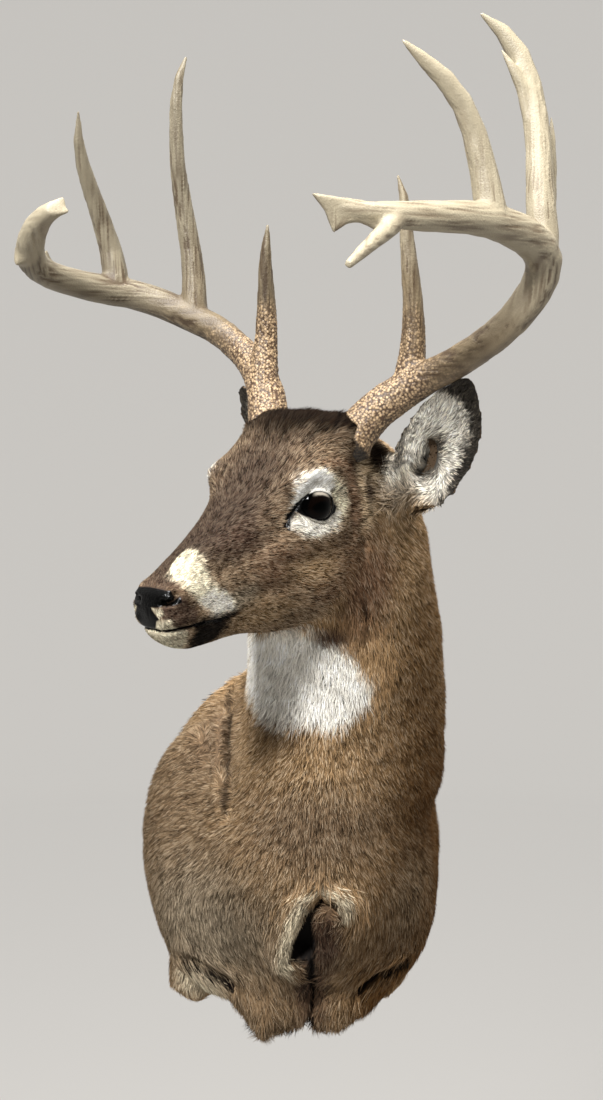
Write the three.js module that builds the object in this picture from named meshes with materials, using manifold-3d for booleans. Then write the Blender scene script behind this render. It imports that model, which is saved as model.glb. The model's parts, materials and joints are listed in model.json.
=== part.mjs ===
// Whitetail buck shoulder mount: head turned to its right, chest and upper forelegs, on a board for the wall.
// Millimetres. +Z up, the wall is the plane y = 0 and the mount stands out towards -Y.
// The origin is on the wall, low behind the chest. "Left" and "right" are the deer's own.
import * as THREE from "three";
import { mergeVertices } from "three/addons/utils/BufferGeometryUtils.js";
import Module from "manifold-3d";

const wasm = await Module();
wasm.setup();

// ---------------------------------------------------------------- driving dimensions
const GAP = 0.3; // clearance between neighbouring solids
const WALL_GAP = 1; // the hide stops this far short of the wall
const RING = 36; // points round each section of the body
const NECK_STEPS = 10; // sections along the neck
const HEAD_STEPS = 8; // and from the neck to the face
const FACE_START = 12; // first section square to the nose line, in the head frame
const FACE_STATIONS = [
  21, 30, 40, 52, 65, 79, 93, 107, 120, 132, 142, 151, 158.5, 164.5, 169.5, 173, 175.5, 177.2,
];
const TRUNK_ANGLES = [0, 3, 6, 9, 12, 15, 18, 21, 24, 27, 30, 33, 36, 39, 42, 45, 49, 53, 57, 62, 67, 72];

// Head pose: its frame is forward to the nose (F), to the deer's left (L) and up (U), from between the eyes.
const HEAD_ORIGIN = [-29.5, -436.6, 421.5];
const HEAD_YAW = 41; // turned to the deer's right
const HEAD_PITCH = 11.8; // nose down
const HEAD_ROLL = -3.1;
const HEAD_SCALE = 1.04;

const EYE_RADIUS = 19;
const EYE_ROUND = 12; // facets round the eye
const EYE_CENTRE = [-1, 45.5, 3.5]; // left eye in the head frame

const BOARD_THICKNESS = 16;
const BOARD_CENTRE = [-4, 12]; // x, z
const BOARD_HALF_WIDTH = 146;
const BOARD_RISE = 180;
const BOARD_DROP = 158;
const BOARD_POINTS = 40;
const BOARD_SQUARENESS = 0.88; // 1 is an ellipse, less is squarer
const RECESS_STEP = 5; // the board's recess is cut this far past the wall

const LEG_CUT_HEIGHT = -92; // the upper forelegs part from the chest at this height
const LEG_CUT_DEPTH = -62; // and in front of this plane
const LEG_PART_X = 17; // left and right part here

const WALL_PIVOT_Z = 300; // the trunk's section planes fan about this level on the wall
const NECK_BASE_FAN = TRUNK_ANGLES[TRUNK_ANGLES.length - 1]; // degrees from the wall to the neck's base
const POLL = [-122, 0, 42]; // section between neck and head: behind the crown
const THROAT_LATCH = [4, 0, -118]; // and under the jaw's angle
const FAR = 600; // beyond the whole body

const BEAM_ROUND = 12; // facets round an antler's beam
const BEAM_STEP = 17; // spacing of its sections
const TINE_ROUND = 8;
const TINE_STEP = 25;

// ---------------------------------------------------------------- vectors
const add = (a, b, k = 1) => [a[0] + b[0] * k, a[1] + b[1] * k, a[2] + b[2] * k];
const sub = (a, b) => [a[0] - b[0], a[1] - b[1], a[2] - b[2]];
const dot = (a, b) => a[0] * b[0] + a[1] * b[1] + a[2] * b[2];
const cross = (a, b) => [a[1] * b[2] - a[2] * b[1], a[2] * b[0] - a[0] * b[2], a[0] * b[1] - a[1] * b[0]];
const length = (a) => Math.hypot(...a);
const unit = (a) => add([0, 0, 0], a, 1 / length(a));
const mix = (a, b, t) => a + (b - a) * t;
const mix3 = (a, b, t) => a.map((v, i) => mix(v, b[i], t));
const radians = (degrees) => (degrees * Math.PI) / 180;
const clamp = (v, lo, hi) => Math.min(hi, Math.max(lo, v));

// Smooth curve through the rows of a table at a fractional row number.
function rowAt(table, s) {
  const last = table.length - 1;
  const i = Math.min(Math.floor(clamp(s, 0, last)), last - 1);
  const t = clamp(s, 0, last) - i;
  const [p0, p1, p2, p3] = [table[Math.max(i - 1, 0)], table[i], table[i + 1], table[Math.min(i + 2, last)]];
  return p1.map((v, k) => {
    const m1 = (p2[k] - p0[k]) / 2;
    const m2 = (p3[k] - v) / 2;
    return v + m1 * t + (3 * (p2[k] - v) - 2 * m1 - m2) * t * t + (2 * (v - p2[k]) + m1 + m2) * t * t * t;
  });
}

// ---------------------------------------------------------------- head frame
const [yaw, pitch, roll] = [HEAD_YAW, HEAD_PITCH, HEAD_ROLL].map(radians);
const FORWARD = [-Math.sin(yaw) * Math.cos(pitch), -Math.cos(yaw) * Math.cos(pitch), -Math.sin(pitch)];
const level = [Math.cos(yaw), -Math.sin(yaw), 0];
const upright = unit(cross(FORWARD, level));
const LEFT = add(level.map((v) => v * Math.cos(roll)), upright, Math.sin(roll));
const UP = add(upright.map((v) => v * Math.cos(roll)), level, -Math.sin(roll));
const headDirection = ([f, l, u]) => add(add(add([0, 0, 0], FORWARD, f), LEFT, l), UP, u);
const fromHead = (p) => add(HEAD_ORIGIN, headDirection(p), HEAD_SCALE);
const toHead = (p) => {
  const q = sub(p, HEAD_ORIGIN);
  return [dot(q, FORWARD) / HEAD_SCALE, dot(q, LEFT) / HEAD_SCALE, dot(q, UP) / HEAD_SCALE];
};

// ---------------------------------------------------------------- distance fields
const blend = (a, b, k) => {
  const h = Math.max(k - Math.abs(a - b), 0) / k;
  return Math.min(a, b) - (h * h * k) / 4;
};
const carve = (d, tool, k) => -blend(-d, tool, k);
function ellipsoid(p, centre, radii) {
  const q = sub(p, centre);
  const k0 = Math.hypot(q[0] / radii[0], q[1] / radii[1], q[2] / radii[2]);
  const k1 = Math.hypot(q[0] / radii[0] ** 2, q[1] / radii[1] ** 2, q[2] / radii[2] ** 2);
  return k1 < 1e-9 ? -Math.min(...radii) : (k0 * (k0 - 1)) / k1;
}
// Round bar between two balls given as [x, y, z, radius].
function bar(p, a, b) {
  const ab = sub(b, a);
  const t = clamp(dot(sub(p, a), ab) / dot(ab, ab), 0, 1);
  return length(sub(p, add(a, ab, t))) - mix(a[3], b[3], t);
}
const chain = (p, balls, k) => balls.slice(1).reduce((d, b, i) => blend(d, bar(p, balls[i], b), k), 1e3);

// Head sections from the nose to behind the poll: forward position, top, widest level, underside, half width,
// squareness above and below.
const NOSE_END = 173;
const HEAD_END = -150;
const SECTION_SLOPE = 0.9; // keeps the sections' distance from being overrated
const HEAD_SECTIONS = [
  [173, -45, -50, -61, 9, 2.3, 2.1],
  [172, -40, -49, -67, 16, 2.3, 2.1],
  [169, -36, -48, -74, 21, 2.3, 2.1],
  [164, -32.5, -48, -81, 24.5, 2.3, 2.1],
  [156, -28, -48, -88, 26.5, 2.4, 2.1],
  [146, -22.5, -49, -93.5, 27, 2.4, 2.1],
  [130, -14, -50, -98.5, 27.5, 2.4, 2.1],
  [110, -6, -49, -100, 29.5, 2.4, 2.1],
  [90, 3, -46, -101, 33, 2.4, 2.1],
  [70, 12, -40, -103.5, 38, 2.4, 2],
  [48, 22, -30, -109.5, 44.5, 2.5, 2],
  [28, 34, -18, -115, 51, 2.7, 2],
  [10, 47, -8, -120, 57, 3, 2],
  [-10, 62, 0, -123, 60, 3.3, 2],
  [-30, 73, 4, -124, 60, 3.3, 2],
  [-50, 76, 4, -124, 58, 3, 2],
  [-70, 72, 0, -122, 56, 2.5, 2],
  [-95, 62, -6, -118, 56, 2.3, 2],
  [-120, 44, -14, -114, 58, 2.2, 2],
  [-150, 12, -30, -110, 60, 2.1, 2],
];
const HEAD_MASSES = [
  // centre, radii, blend
  [[2, 46, 27], [30, 17, 12], 14], // brow
  [[4, 46, -20], [36, 13, 12], 16], // cheekbone under the eye
  [[-22, 40, -72], [40, 15, 40], 16], // jaw muscle
  [[152, 17, -42], [14, 9.5, 11], 6], // nostril wing
  [[-104, 55, -6], [26, 20, 30], 16], // ear base
];
const PEDICLE = [
  [-52, 36, 46, 21],
  [-64, 45, 55, 19],
];
const OPEN_LIDS = [[5, 66, 3], [25, 14, 15], 5];

function headSection(forward) {
  const rows = HEAD_SECTIONS;
  let i = 0;
  while (i < rows.length - 2 && forward < rows[i + 1][0]) i += 1;
  return rowAt(rows, i + clamp((rows[i][0] - forward) / (rows[i][0] - rows[i + 1][0]), 0, 1));
}
function headDistance(point) {
  const [f, l, u] = toHead(point);
  const side = Math.abs(l);
  const q = [f, side, u];
  const [, top, mid, low, half, above, below] = headSection(f);
  const rise = u > mid ? top - mid : mid - low;
  const n = u > mid ? above : below;
  const r = ((side / half) ** n + (Math.abs(u - mid) / rise) ** n) ** (1 / n);
  let d = (r - 1) * Math.min(half, rise) * SECTION_SLOPE;
  d = Math.max(d, f - NOSE_END, HEAD_END - f);
  for (const [centre, radii, k] of HEAD_MASSES) d = blend(d, ellipsoid(q, centre, radii), k);
  d = blend(d, bar(q, ...PEDICLE), 12);
  const [centre, radii, k] = OPEN_LIDS;
  return carve(d, ellipsoid(q, centre, radii), k) * HEAD_SCALE;
}

// Neck and trunk masses in the world frame, each ball as [x, y, z, radius].
const NECK_CORE = [
  [14, -200, 45, 112],
  [50, -224, 140, 111],
  [55, -246, 210, 104],
  [52, -281, 280, 98],
  [44, -318, 345, 90],
  [34, -352, 405, 77],
];
const NECK_TOP = [
  [2, -70, 162, 76],
  [42, -140, 222, 83],
  [62, -205, 308, 77],
  [59, -275, 393, 66],
  [48, -338, 438, 55],
];
const NECK_UNDER = [
  [16, -290, 60, 82],
  [20, -300, 130, 73],
  [20, -304, 200, 66],
  [20, -323, 265, 58],
  [12, -352, 312, 50],
];
const TRUNK_MASSES = [
  // centre, radii, blend
  [[-4, 10, -5], [170, 150, 222], 30], // rib cage against the wall
  [[-104, -118, 22], [73, 92, 134], 44], // right shoulder
  [[102, -112, 16], [72, 86, 134], 44], // left shoulder
  [[-88, -200, -20], [68, 82, 112], 44], // right upper arm
  [[92, -200, -30], [66, 80, 98], 44], // left upper arm
  [[12, -208, 15], [128, 140, 122], 40], // chest
  [[18, -288, -12], [66, 64, 82], 30], // brisket
  [[-28, -236, -116], [45, 56, 60], 16], // right foreleg root
  [[50, -230, -110], [42, 54, 58], 16], // left foreleg root
  [[-116, -96, -140], [37, 62, 42], 24], // right elbow
  [[98, -96, -138], [42, 62, 42], 24], // left elbow
];
function bodyDistance(p) {
  let d = chain(p, NECK_CORE, 20);
  d = blend(d, chain(p, NECK_TOP, 20), 40);
  d = blend(d, chain(p, NECK_UNDER, 20), 40);
  for (const [centre, radii, k] of TRUNK_MASSES) d = blend(d, ellipsoid(p, centre, radii), k);
  return d;
}
const deerDistance = (p) => blend(bodyDistance(p), headDistance(p), 26);

// ---------------------------------------------------------------- section planes
// A plane holds a centre inside the body and two axes: side (towards the deer's left) and back.
const planeAt = (centre, side, back) => ({ centre, side, back, normal: unit(cross(side, back)) });
const shifted = (plane, by) => ({ ...plane, centre: add(plane.centre, plane.normal, by) });

// The trunk's middle line: sideways place and distance from the pivot, at the wall and at the neck's base.
const TRUNK_SIDEWAYS = [-4, 42];
const TRUNK_REACH = [318, 238];
function trunkPlane(degrees) {
  const a = radians(degrees);
  const t = degrees / NECK_BASE_FAN;
  const reach = mix(...TRUNK_REACH, t);
  const sideways = mix(...TRUNK_SIDEWAYS, t * t);
  const centre = [sideways, -WALL_GAP - reach * Math.sin(a), WALL_PIVOT_Z - reach * Math.cos(a)];
  return planeAt(centre, [1, 0, 0], [0, Math.sin(a), Math.cos(a)]);
}
const neckBase = trunkPlane(NECK_BASE_FAN);
const pollPoint = fromHead(POLL);
const latchPoint = fromHead(THROAT_LATCH);
const SECTION_HEART = 0.52; // the middle of a head section, from its underside to its top
const headBase = planeAt(mix3(latchPoint, pollPoint, SECTION_HEART), LEFT, unit(sub(pollPoint, latchPoint)));

// Planes of a pencil: all pass through the line where the first and last plane meet.
function pencil(first, last, t) {
  const line = unit(cross(first.normal, last.normal));
  const system = new THREE.Matrix3().set(...first.normal, ...last.normal, ...line);
  const onLine = new THREE.Vector3(dot(first.normal, first.centre), dot(last.normal, last.centre), 0);
  const pivot = onLine.applyMatrix3(system.invert()).toArray();
  const normal = unit(mix3(first.normal, last.normal, t));
  const guess = mix3(first.centre, last.centre, t);
  const centre = add(guess, normal, dot(sub(pivot, guess), normal));
  const sideGuess = mix3(first.side, last.side, t);
  const side = unit(add(sideGuess, normal, -dot(sideGuess, normal)));
  return planeAt(centre, side, cross(normal, side));
}

function headPlane(forward) {
  const [, top, , low] = headSection(forward);
  return planeAt(fromHead([forward, 0, mix(low, top, SECTION_HEART)]), LEFT, UP);
}

// ---------------------------------------------------------------- surfacing
// Walks out from the centre to the field's surface, then halves the last step.
const WALK_LIMIT = 400;
const WALK_CAUTION = 0.7;
const WALK_STEP = [1.2, 20];
const HALVINGS = 14;
function surfaceRadius(centre, direction, field, offset) {
  let r = 0;
  let step = 0;
  for (let i = 0; i < WALK_LIMIT; i += 1) {
    const d = field(add(centre, direction, r)) - offset;
    if (d >= 0) break;
    step = clamp(-d * WALK_CAUTION, ...WALK_STEP);
    r += step;
  }
  let inner = Math.max(r - step, 0);
  let outer = r;
  for (let i = 0; i < HALVINGS; i += 1) {
    const middle = (inner + outer) / 2;
    if (field(add(centre, direction, middle)) - offset < 0) inner = middle;
    else outer = middle;
  }
  return (inner + outer) / 2;
}
const ringOf = (plane, field, offset) =>
  Array.from({ length: RING }, (_, j) => {
    const angle = (2 * Math.PI * j) / RING;
    const direction = add(plane.side.map((v) => v * Math.cos(angle)), plane.back, Math.sin(angle));
    return add(plane.centre, direction, surfaceRadius(plane.centre, direction, field, offset));
  });

function geometryOf(points, faces) {
  const geometry = new THREE.BufferGeometry();
  geometry.setAttribute("position", new THREE.Float32BufferAttribute(points.flat(), 3));
  geometry.setIndex(faces.flat());
  return geometry;
}
// Closed skin over a stack of rings, with a middle point at each end.
function loft(rings) {
  const n = rings[0].length;
  const points = rings.flat();
  const faces = [];
  for (let i = 0; i < rings.length - 1; i += 1) {
    for (let j = 0; j < n; j += 1) {
      const [a, b] = [i * n + j, i * n + ((j + 1) % n)];
      const [c, d] = [a + n, b + n];
      // The shorter diagonal follows the form better.
      const straight = length(sub(points[a], points[d])) < length(sub(points[b], points[c]));
      faces.push(...(straight ? [[a, b, d], [a, d, c]] : [[a, b, c], [b, d, c]]));
    }
  }
  const middle = (ring) => ring.reduce((s, p) => add(s, p, 1 / n), [0, 0, 0]);
  const first = points.push(middle(rings[0])) - 1;
  const last = points.push(middle(rings[rings.length - 1])) - 1;
  const base = (rings.length - 1) * n;
  for (let j = 0; j < n; j += 1) {
    const next = (j + 1) % n;
    faces.push([first, next, j], [last, base + j, base + next]);
  }
  return geometryOf(points, faces);
}

// Solid of a closed geometry, turned the right way out.
function solid(geometry) {
  geometry.deleteAttribute("normal");
  geometry.deleteAttribute("uv");
  const merged = mergeVertices(geometry, 1e-4);
  const vertProperties = new Float32Array(merged.attributes.position.array);
  const triVerts = new Uint32Array(merged.index.array);
  const made = new wasm.Manifold(new wasm.Mesh({ numProp: 3, vertProperties, triVerts }));
  if (made.volume() > 0) return made;
  for (let i = 0; i < triVerts.length; i += 3) [triVerts[i], triVerts[i + 1]] = [triVerts[i + 1], triVerts[i]];
  return new wasm.Manifold(new wasm.Mesh({ numProp: 3, vertProperties, triVerts }));
}
function geometryFrom(manifold) {
  const mesh = manifold.getMesh();
  const geometry = new THREE.BufferGeometry();
  const stride = mesh.numProp;
  const position = new Float32Array((mesh.vertProperties.length / stride) * 3);
  for (let i = 0; i < position.length / 3; i += 1)
    for (let k = 0; k < 3; k += 1) position[i * 3 + k] = mesh.vertProperties[i * stride + k];
  geometry.setAttribute("position", new THREE.BufferAttribute(position, 3));
  geometry.setIndex(Array.from(mesh.triVerts));
  return geometry;
}
const box = (low, high) => {
  const geometry = new THREE.BoxGeometry(high[0] - low[0], high[1] - low[1], high[2] - low[2]);
  geometry.translate((high[0] + low[0]) / 2, (high[1] + low[1]) / 2, (high[2] + low[2]) / 2);
  return solid(geometry);
};

// ---------------------------------------------------------------- body
const trunkRings = TRUNK_ANGLES.map((a) => {
  const plane = trunkPlane(a);
  return ringOf(a === NECK_BASE_FAN ? shifted(plane, -GAP / 2) : plane, deerDistance, 0);
});
function neckRings(offset) {
  return Array.from({ length: NECK_STEPS + 1 }, (_, i) => {
    const plane = pencil(neckBase, headBase, i / NECK_STEPS);
    const by = i === 0 ? GAP / 2 : i === NECK_STEPS ? -GAP / 2 : 0;
    return ringOf(shifted(plane, by), deerDistance, offset);
  });
}
function headRings(offset) {
  const facePlane = headPlane(FACE_START);
  const back = Array.from({ length: HEAD_STEPS + 1 }, (_, i) => {
    const plane = pencil(headBase, facePlane, i / HEAD_STEPS);
    return ringOf(i === 0 ? shifted(plane, GAP / 2 - offset) : plane, deerDistance, offset);
  });
  const face = FACE_STATIONS.map((f) => ringOf(headPlane(f), deerDistance, offset));
  return [...back, ...face];
}

const eyeSolid = (side, extra) => {
  const geometry = new THREE.SphereGeometry(EYE_RADIUS * HEAD_SCALE + extra, EYE_ROUND, (EYE_ROUND * 2) / 3);
  geometry.rotateX(Math.PI / 2);
  geometry.translate(...fromHead([EYE_CENTRE[0], EYE_CENTRE[1] * side, EYE_CENTRE[2]]));
  return solid(geometry);
};

function boardShape(grow) {
  const round = (v) => Math.sign(v) * Math.abs(v) ** BOARD_SQUARENESS;
  const points = Array.from({ length: BOARD_POINTS }, (_, j) => {
    const angle = (2 * Math.PI * j) / BOARD_POINTS;
    const [c, s] = [Math.cos(angle), Math.sin(angle)];
    const half = BOARD_HALF_WIDTH + grow;
    const tall = (s > 0 ? BOARD_RISE : BOARD_DROP) + grow;
    return new THREE.Vector2(BOARD_CENTRE[0] + half * round(c), BOARD_CENTRE[1] + tall * round(s));
  });
  return new THREE.Shape(points);
}
function boardSolid(grow, depth, from) {
  const geometry = new THREE.ExtrudeGeometry(boardShape(grow), { depth, bevelEnabled: false, steps: 1 });
  geometry.rotateX(Math.PI / 2); // the outline stands on the wall and the depth runs towards -Y
  geometry.translate(0, from, 0);
  return solid(geometry);
}
const board = boardSolid(0, BOARD_THICKNESS, 0);

const recess = boardSolid(GAP, BOARD_THICKNESS + GAP + RECESS_STEP, RECESS_STEP);
const wholeTrunk = solid(loft(trunkRings)).subtract(recess);
const legBox = (x0, x1, grow) =>
  box([x0 - grow, -FAR, -FAR], [x1 + grow, LEG_CUT_DEPTH + grow, LEG_CUT_HEIGHT + grow]);
const trunk = wholeTrunk.subtract(legBox(-FAR, FAR, GAP));
const rightLeg = wholeTrunk.intersect(legBox(-FAR, LEG_PART_X - GAP / 2, 0));
const leftLeg = wholeTrunk.intersect(legBox(LEG_PART_X + GAP / 2, FAR, 0));
const neck = solid(loft(neckRings(0)));
const head = solid(loft(headRings(0)))
  .subtract(eyeSolid(1, GAP))
  .subtract(eyeSolid(-1, GAP));
const headClearance = solid(loft(headRings(GAP)));
const neckClearance = solid(loft(neckRings(GAP)));

// ---------------------------------------------------------------- ears
// Stations along the ear from its root: centre in the head frame, half width, cup depth, thickness.
const EAR_LINE = [
  [-112, 52, -28, 17, 10, 15],
  [-116, 66, -18, 24, 15, 13],
  [-120, 82, 2, 31, 17, 9],
  [-122, 97, 24, 34, 16, 7],
  [-122, 112, 47, 33, 14, 6],
  [-120, 126, 68, 27, 11, 5],
  [-117, 137, 86, 17, 7, 4],
  [-115, 144, 97, 6, 3, 3],
];
const RIGHT_EAR_DROOP = [-10, -12, -18]; // the right ear's tip hangs back from the left one's place
const EAR_FACING = unit([0.8, 0.5, 0.12]); // the way the left ear opens
const EAR_STEPS = 12;
const EAR_ACROSS = 7; // points from edge to edge
const EAR_EDGE = 0.03; // keeps the edge from being a knife
function earSolid(side) {
  const rings = Array.from({ length: EAR_STEPS + 1 }, (_, i) => {
    const s = ((EAR_LINE.length - 1) * i) / EAR_STEPS;
    const row = rowAt(EAR_LINE, s);
    const [, , , half, cup, thick] = row;
    const middle = add(row.slice(0, 3), RIGHT_EAR_DROOP, side < 0 ? (i / EAR_STEPS) ** 1.3 : 0);
    const along = unit(sub(rowAt(EAR_LINE, s + 0.05), rowAt(EAR_LINE, s - 0.05)).slice(0, 3));
    const facing = unit(add(EAR_FACING, along, -dot(EAR_FACING, along)));
    const across = cross(along, facing);
    const place = (w, depth) => {
      const p = add(add(middle, across, w), facing, depth);
      return fromHead([p[0], p[1] * side, p[2]]);
    };
    const profile = (t) => cup * (t * t - 0.5); // edges come forward
    const front = Array.from({ length: EAR_ACROSS }, (_, j) => {
      const t = (2 * j) / (EAR_ACROSS - 1) - 1;
      return place(half * t, profile(t) + (thick / 2) * Math.sqrt(Math.max(1 - t * t, EAR_EDGE)));
    });
    const rear = Array.from({ length: EAR_ACROSS - 2 }, (_, j) => {
      const t = 1 - (2 * (j + 1)) / (EAR_ACROSS - 1);
      return place(half * t, profile(t) - (thick / 2) * Math.sqrt(1 - t * t));
    });
    return [...front, ...rear];
  });
  return solid(loft(rings));
}

// ---------------------------------------------------------------- antlers
// Each row: forward, left, up in the head frame, then the radius; L is positive on both sides.
const LEFT_BEAM = [
  [-52, 36, 34, 17],
  [-61, 42, 44, 23],
  [-70, 48, 53, 20],
  [-83, 59, 69, 18],
  [-95, 71, 80, 17.5],
  [-104, 86, 90, 16.5],
  [-109, 102, 99, 15.5],
  [-113, 130, 111, 14.5],
  [-117, 158, 127, 14],
  [-122, 182, 144, 14],
  [-126, 200, 162, 14.5],
  [-130, 213, 181, 15],
  [-127, 221, 201, 16],
  [-106, 223, 220, 16],
  [-74, 219, 235, 15],
  [-43, 212, 245, 14],
  [-4, 200, 251, 12.5],
  [26, 188, 255, 11.5],
  [44, 178, 259, 9],
  [60, 168, 263, 6.5],
  [72, 160, 267, 3],
];
// The flat end of the left beam: an outline along and across the beam, and its thickness.
const PALM_ROOT = [30, 188, 255];
const PALM_ALONG = unit([57, -42, 12]);
const PALM_OUTLINE = [
  [2, 8],
  [22, 8],
  [44, 9],
  [75, 12],
  [62, -1],
  [55, -16],
  [46, -8],
  [37, -6],
  [28, -8],
  [20, -12],
  [4, -9],
];
const PALM_THICKNESS = 8;
const PALM_EDGE = [0.8, 1.5]; // worn edge, along the outline and through the thickness
const RIGHT_BEAM = [
  [-50, 34, 36, 17],
  [-57, 40, 46, 23],
  [-63, 47, 60, 20],
  [-77, 60, 89, 17.5],
  [-89, 82, 111, 15],
  [-95, 104, 125, 14],
  [-98, 130, 141, 14],
  [-94, 155, 153, 14.5],
  [-85, 182, 167, 14.5],
  [-66, 208, 181, 14.5],
  [-40, 224, 190, 14.5],
  [-11, 232, 200, 13.5],
  [20, 233, 212, 13],
  [46, 226, 227, 13],
  [62, 208, 246, 12],
  [72, 182, 266, 10],
  [77, 158, 277, 7],
];
const LEFT_TINES = {
  g1: [
    [-99, 82, 84, 14],
    [-110, 86, 104, 13.5],
    [-114, 88, 124, 12],
    [-115, 91, 154, 10],
    [-113, 92, 187, 8.5],
    [-111, 92, 229, 6.5],
    [-114, 90, 258, 4.5],
    [-112, 86, 280, 1.5],
  ],
  g2: [
    [-128, 219, 200, 14],
    [-134, 217, 228, 14],
    [-139, 213, 254, 12.5],
    [-153, 206, 286, 11.5],
    [-166, 196, 323, 11],
    [-173, 184, 359, 10.5],
    [-169, 172, 386, 8],
    [-152, 155, 409, 1.5],
  ],
  g2_spur: [
    [-142, 217, 226, 7],
    [-152, 214, 250, 6.5],
    [-164, 210, 274, 5.5],
    [-178, 204, 298, 4],
    [-192, 197, 318, 1.2],
  ],
  g2_fork: [
    [-158, 197, 312, 6],
    [-160, 192, 328, 6],
    [-160, 189, 342, 5.5],
    [-156, 182, 362, 4],
    [-153, 174, 377, 1.2],
  ],
  g3: [
    [-56, 215, 238, 14],
    [-58, 213, 257, 13],
    [-59, 206, 293, 11],
    [-55, 200, 324, 9.5],
    [-44, 192, 349, 8.5],
    [-28, 180, 370, 6],
    [-14, 168, 388, 1.5],
  ],
  g4: [
    [30, 186, 256, 9],
    [48, 187, 248, 8],
    [72, 190, 241, 6.5],
    [99, 195, 234, 5],
    [119, 198, 228, 3.5],
  ],
};
const RIGHT_TINES = {
  g1: [
    [-64, 52, 68, 15],
    [-76, 60, 96, 14],
    [-87, 64, 125, 12],
    [-91, 62, 151, 10],
    [-90, 58, 191, 7.5],
    [-89, 54, 217, 5.5],
    [-91, 50, 243, 1.5],
  ],
  g2: [
    [-94, 157, 153, 14],
    [-100, 160, 176, 12.5],
    [-106, 163, 206, 11],
    [-105, 165, 244, 9.5],
    [-101, 164, 277, 8.5],
    [-96, 160, 309, 7.5],
    [-95, 155, 346, 6.5],
    [-97, 150, 377, 5],
    [-106, 144, 401, 1.5],
  ],
  g3: [
    [-50, 219, 190, 14],
    [-55, 221, 207, 12.5],
    [-54, 224, 235, 10.5],
    [-42, 222, 269, 9],
    [-26, 216, 302, 7.5],
    [-15, 209, 328, 5.5],
    [-11, 200, 360, 1.5],
  ],
  g4: [
    [14, 232, 208, 7],
    [22, 230, 220, 5],
    [31, 222, 236, 1.5],
  ],
  tip_spur: [
    [50, 214, 238, 8],
    [59, 220, 234, 5],
    [68, 225, 231, 1.5],
  ],
};
// Tube along a table of centres and radii, as a fraction of the way gives its width one way across.
const even = () => 1;
function tube(table, side, around, spacing, extra = 0, widen = even) {
  let run = 0;
  for (let i = 1; i < table.length; i += 1) run += length(sub(table[i].slice(0, 3), table[i - 1].slice(0, 3)));
  const steps = Math.max(4, Math.round(run / spacing));
  const at = (t) => rowAt(table, t * (table.length - 1));
  let reference = null;
  const rings = Array.from({ length: steps + 1 }, (_, i) => {
    const t = i / steps;
    const row = at(t);
    const along = unit(sub(at(Math.min(t + 0.01, 1)), at(Math.max(t - 0.01, 0))).slice(0, 3));
    const guess = reference ?? (Math.abs(along[0]) < 0.8 ? [1, 0, 0] : [0, 0, 1]);
    const u = unit(add(guess, along, -dot(guess, along)));
    reference = u;
    const v = cross(along, u);
    return Array.from({ length: around }, (_, j) => {
      const angle = (2 * Math.PI * j) / around;
      const r = row[3] + extra;
      const p = add(add(row.slice(0, 3), u, r * Math.cos(angle)), v, r * widen(t) * Math.sin(angle));
      return fromHead([p[0], p[1] * side, p[2]]);
    });
  });
  return solid(loft(rings));
}
function antler(side, beamTable, tines, widen) {
  const beam = tube(beamTable, side, BEAM_ROUND, BEAM_STEP, 0, widen).subtract(headClearance);
  const beamClearance = tube(beamTable, side, BEAM_ROUND, BEAM_STEP, GAP, widen);
  const g2Clearance = tube(tines.g2, side, TINE_ROUND, TINE_STEP, GAP);
  const pieces = { beam };
  for (const [name, table] of Object.entries(tines)) {
    const tine = tube(table, side, TINE_ROUND, TINE_STEP).subtract(beamClearance).subtract(headClearance);
    pieces[name] = name.startsWith("g2_") ? tine.subtract(g2Clearance) : tine;
  }
  return pieces;
}
const largest = (manifold) => manifold.decompose().sort((a, b) => b.volume() - a.volume())[0];

// The left beam ends in a flat palm.
function palmSolid(grow) {
  const shape = new THREE.Shape(PALM_OUTLINE.map(([a, b]) => new THREE.Vector2(a, b)));
  const [bevelSize, bevelThickness] = [PALM_EDGE[0] + grow, PALM_EDGE[1] + grow];
  const bevel = { bevelEnabled: true, bevelSize, bevelThickness, bevelSegments: 1 };
  const depth = PALM_THICKNESS - 2 * PALM_EDGE[1];
  const geometry = new THREE.ExtrudeGeometry(shape, { depth, steps: 1, ...bevel });
  const across = unit(add([0, 0, 1], PALM_ALONG, -PALM_ALONG[2]));
  const out = cross(PALM_ALONG, across);
  const position = geometry.getAttribute("position");
  for (let i = 0; i < position.count; i += 1) {
    const [a, b, c] = [position.getX(i), position.getY(i), position.getZ(i) - depth / 2];
    position.setXYZ(i, ...fromHead(add(add(add(PALM_ROOT, PALM_ALONG, a), across, b), out, c)));
  }
  return solid(geometry);
}
const rightCurl = (t) => 1 + 0.35 * clamp((t - 0.8) / 0.12, 0, 1); // the right beam widens to its curled tip
const leftAntler = antler(1, LEFT_BEAM, LEFT_TINES);
const rightAntler = antler(-1, RIGHT_BEAM, RIGHT_TINES, rightCurl);
leftAntler.g4 = leftAntler.g4.subtract(palmSolid(GAP));
leftAntler.palm = palmSolid(0).subtract(tube(LEFT_BEAM, 1, BEAM_ROUND, BEAM_STEP, GAP));

// ---------------------------------------------------------------- scene graph
const group = new THREE.Group();
group.name = "whitetail_shoulder_mount";
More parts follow.
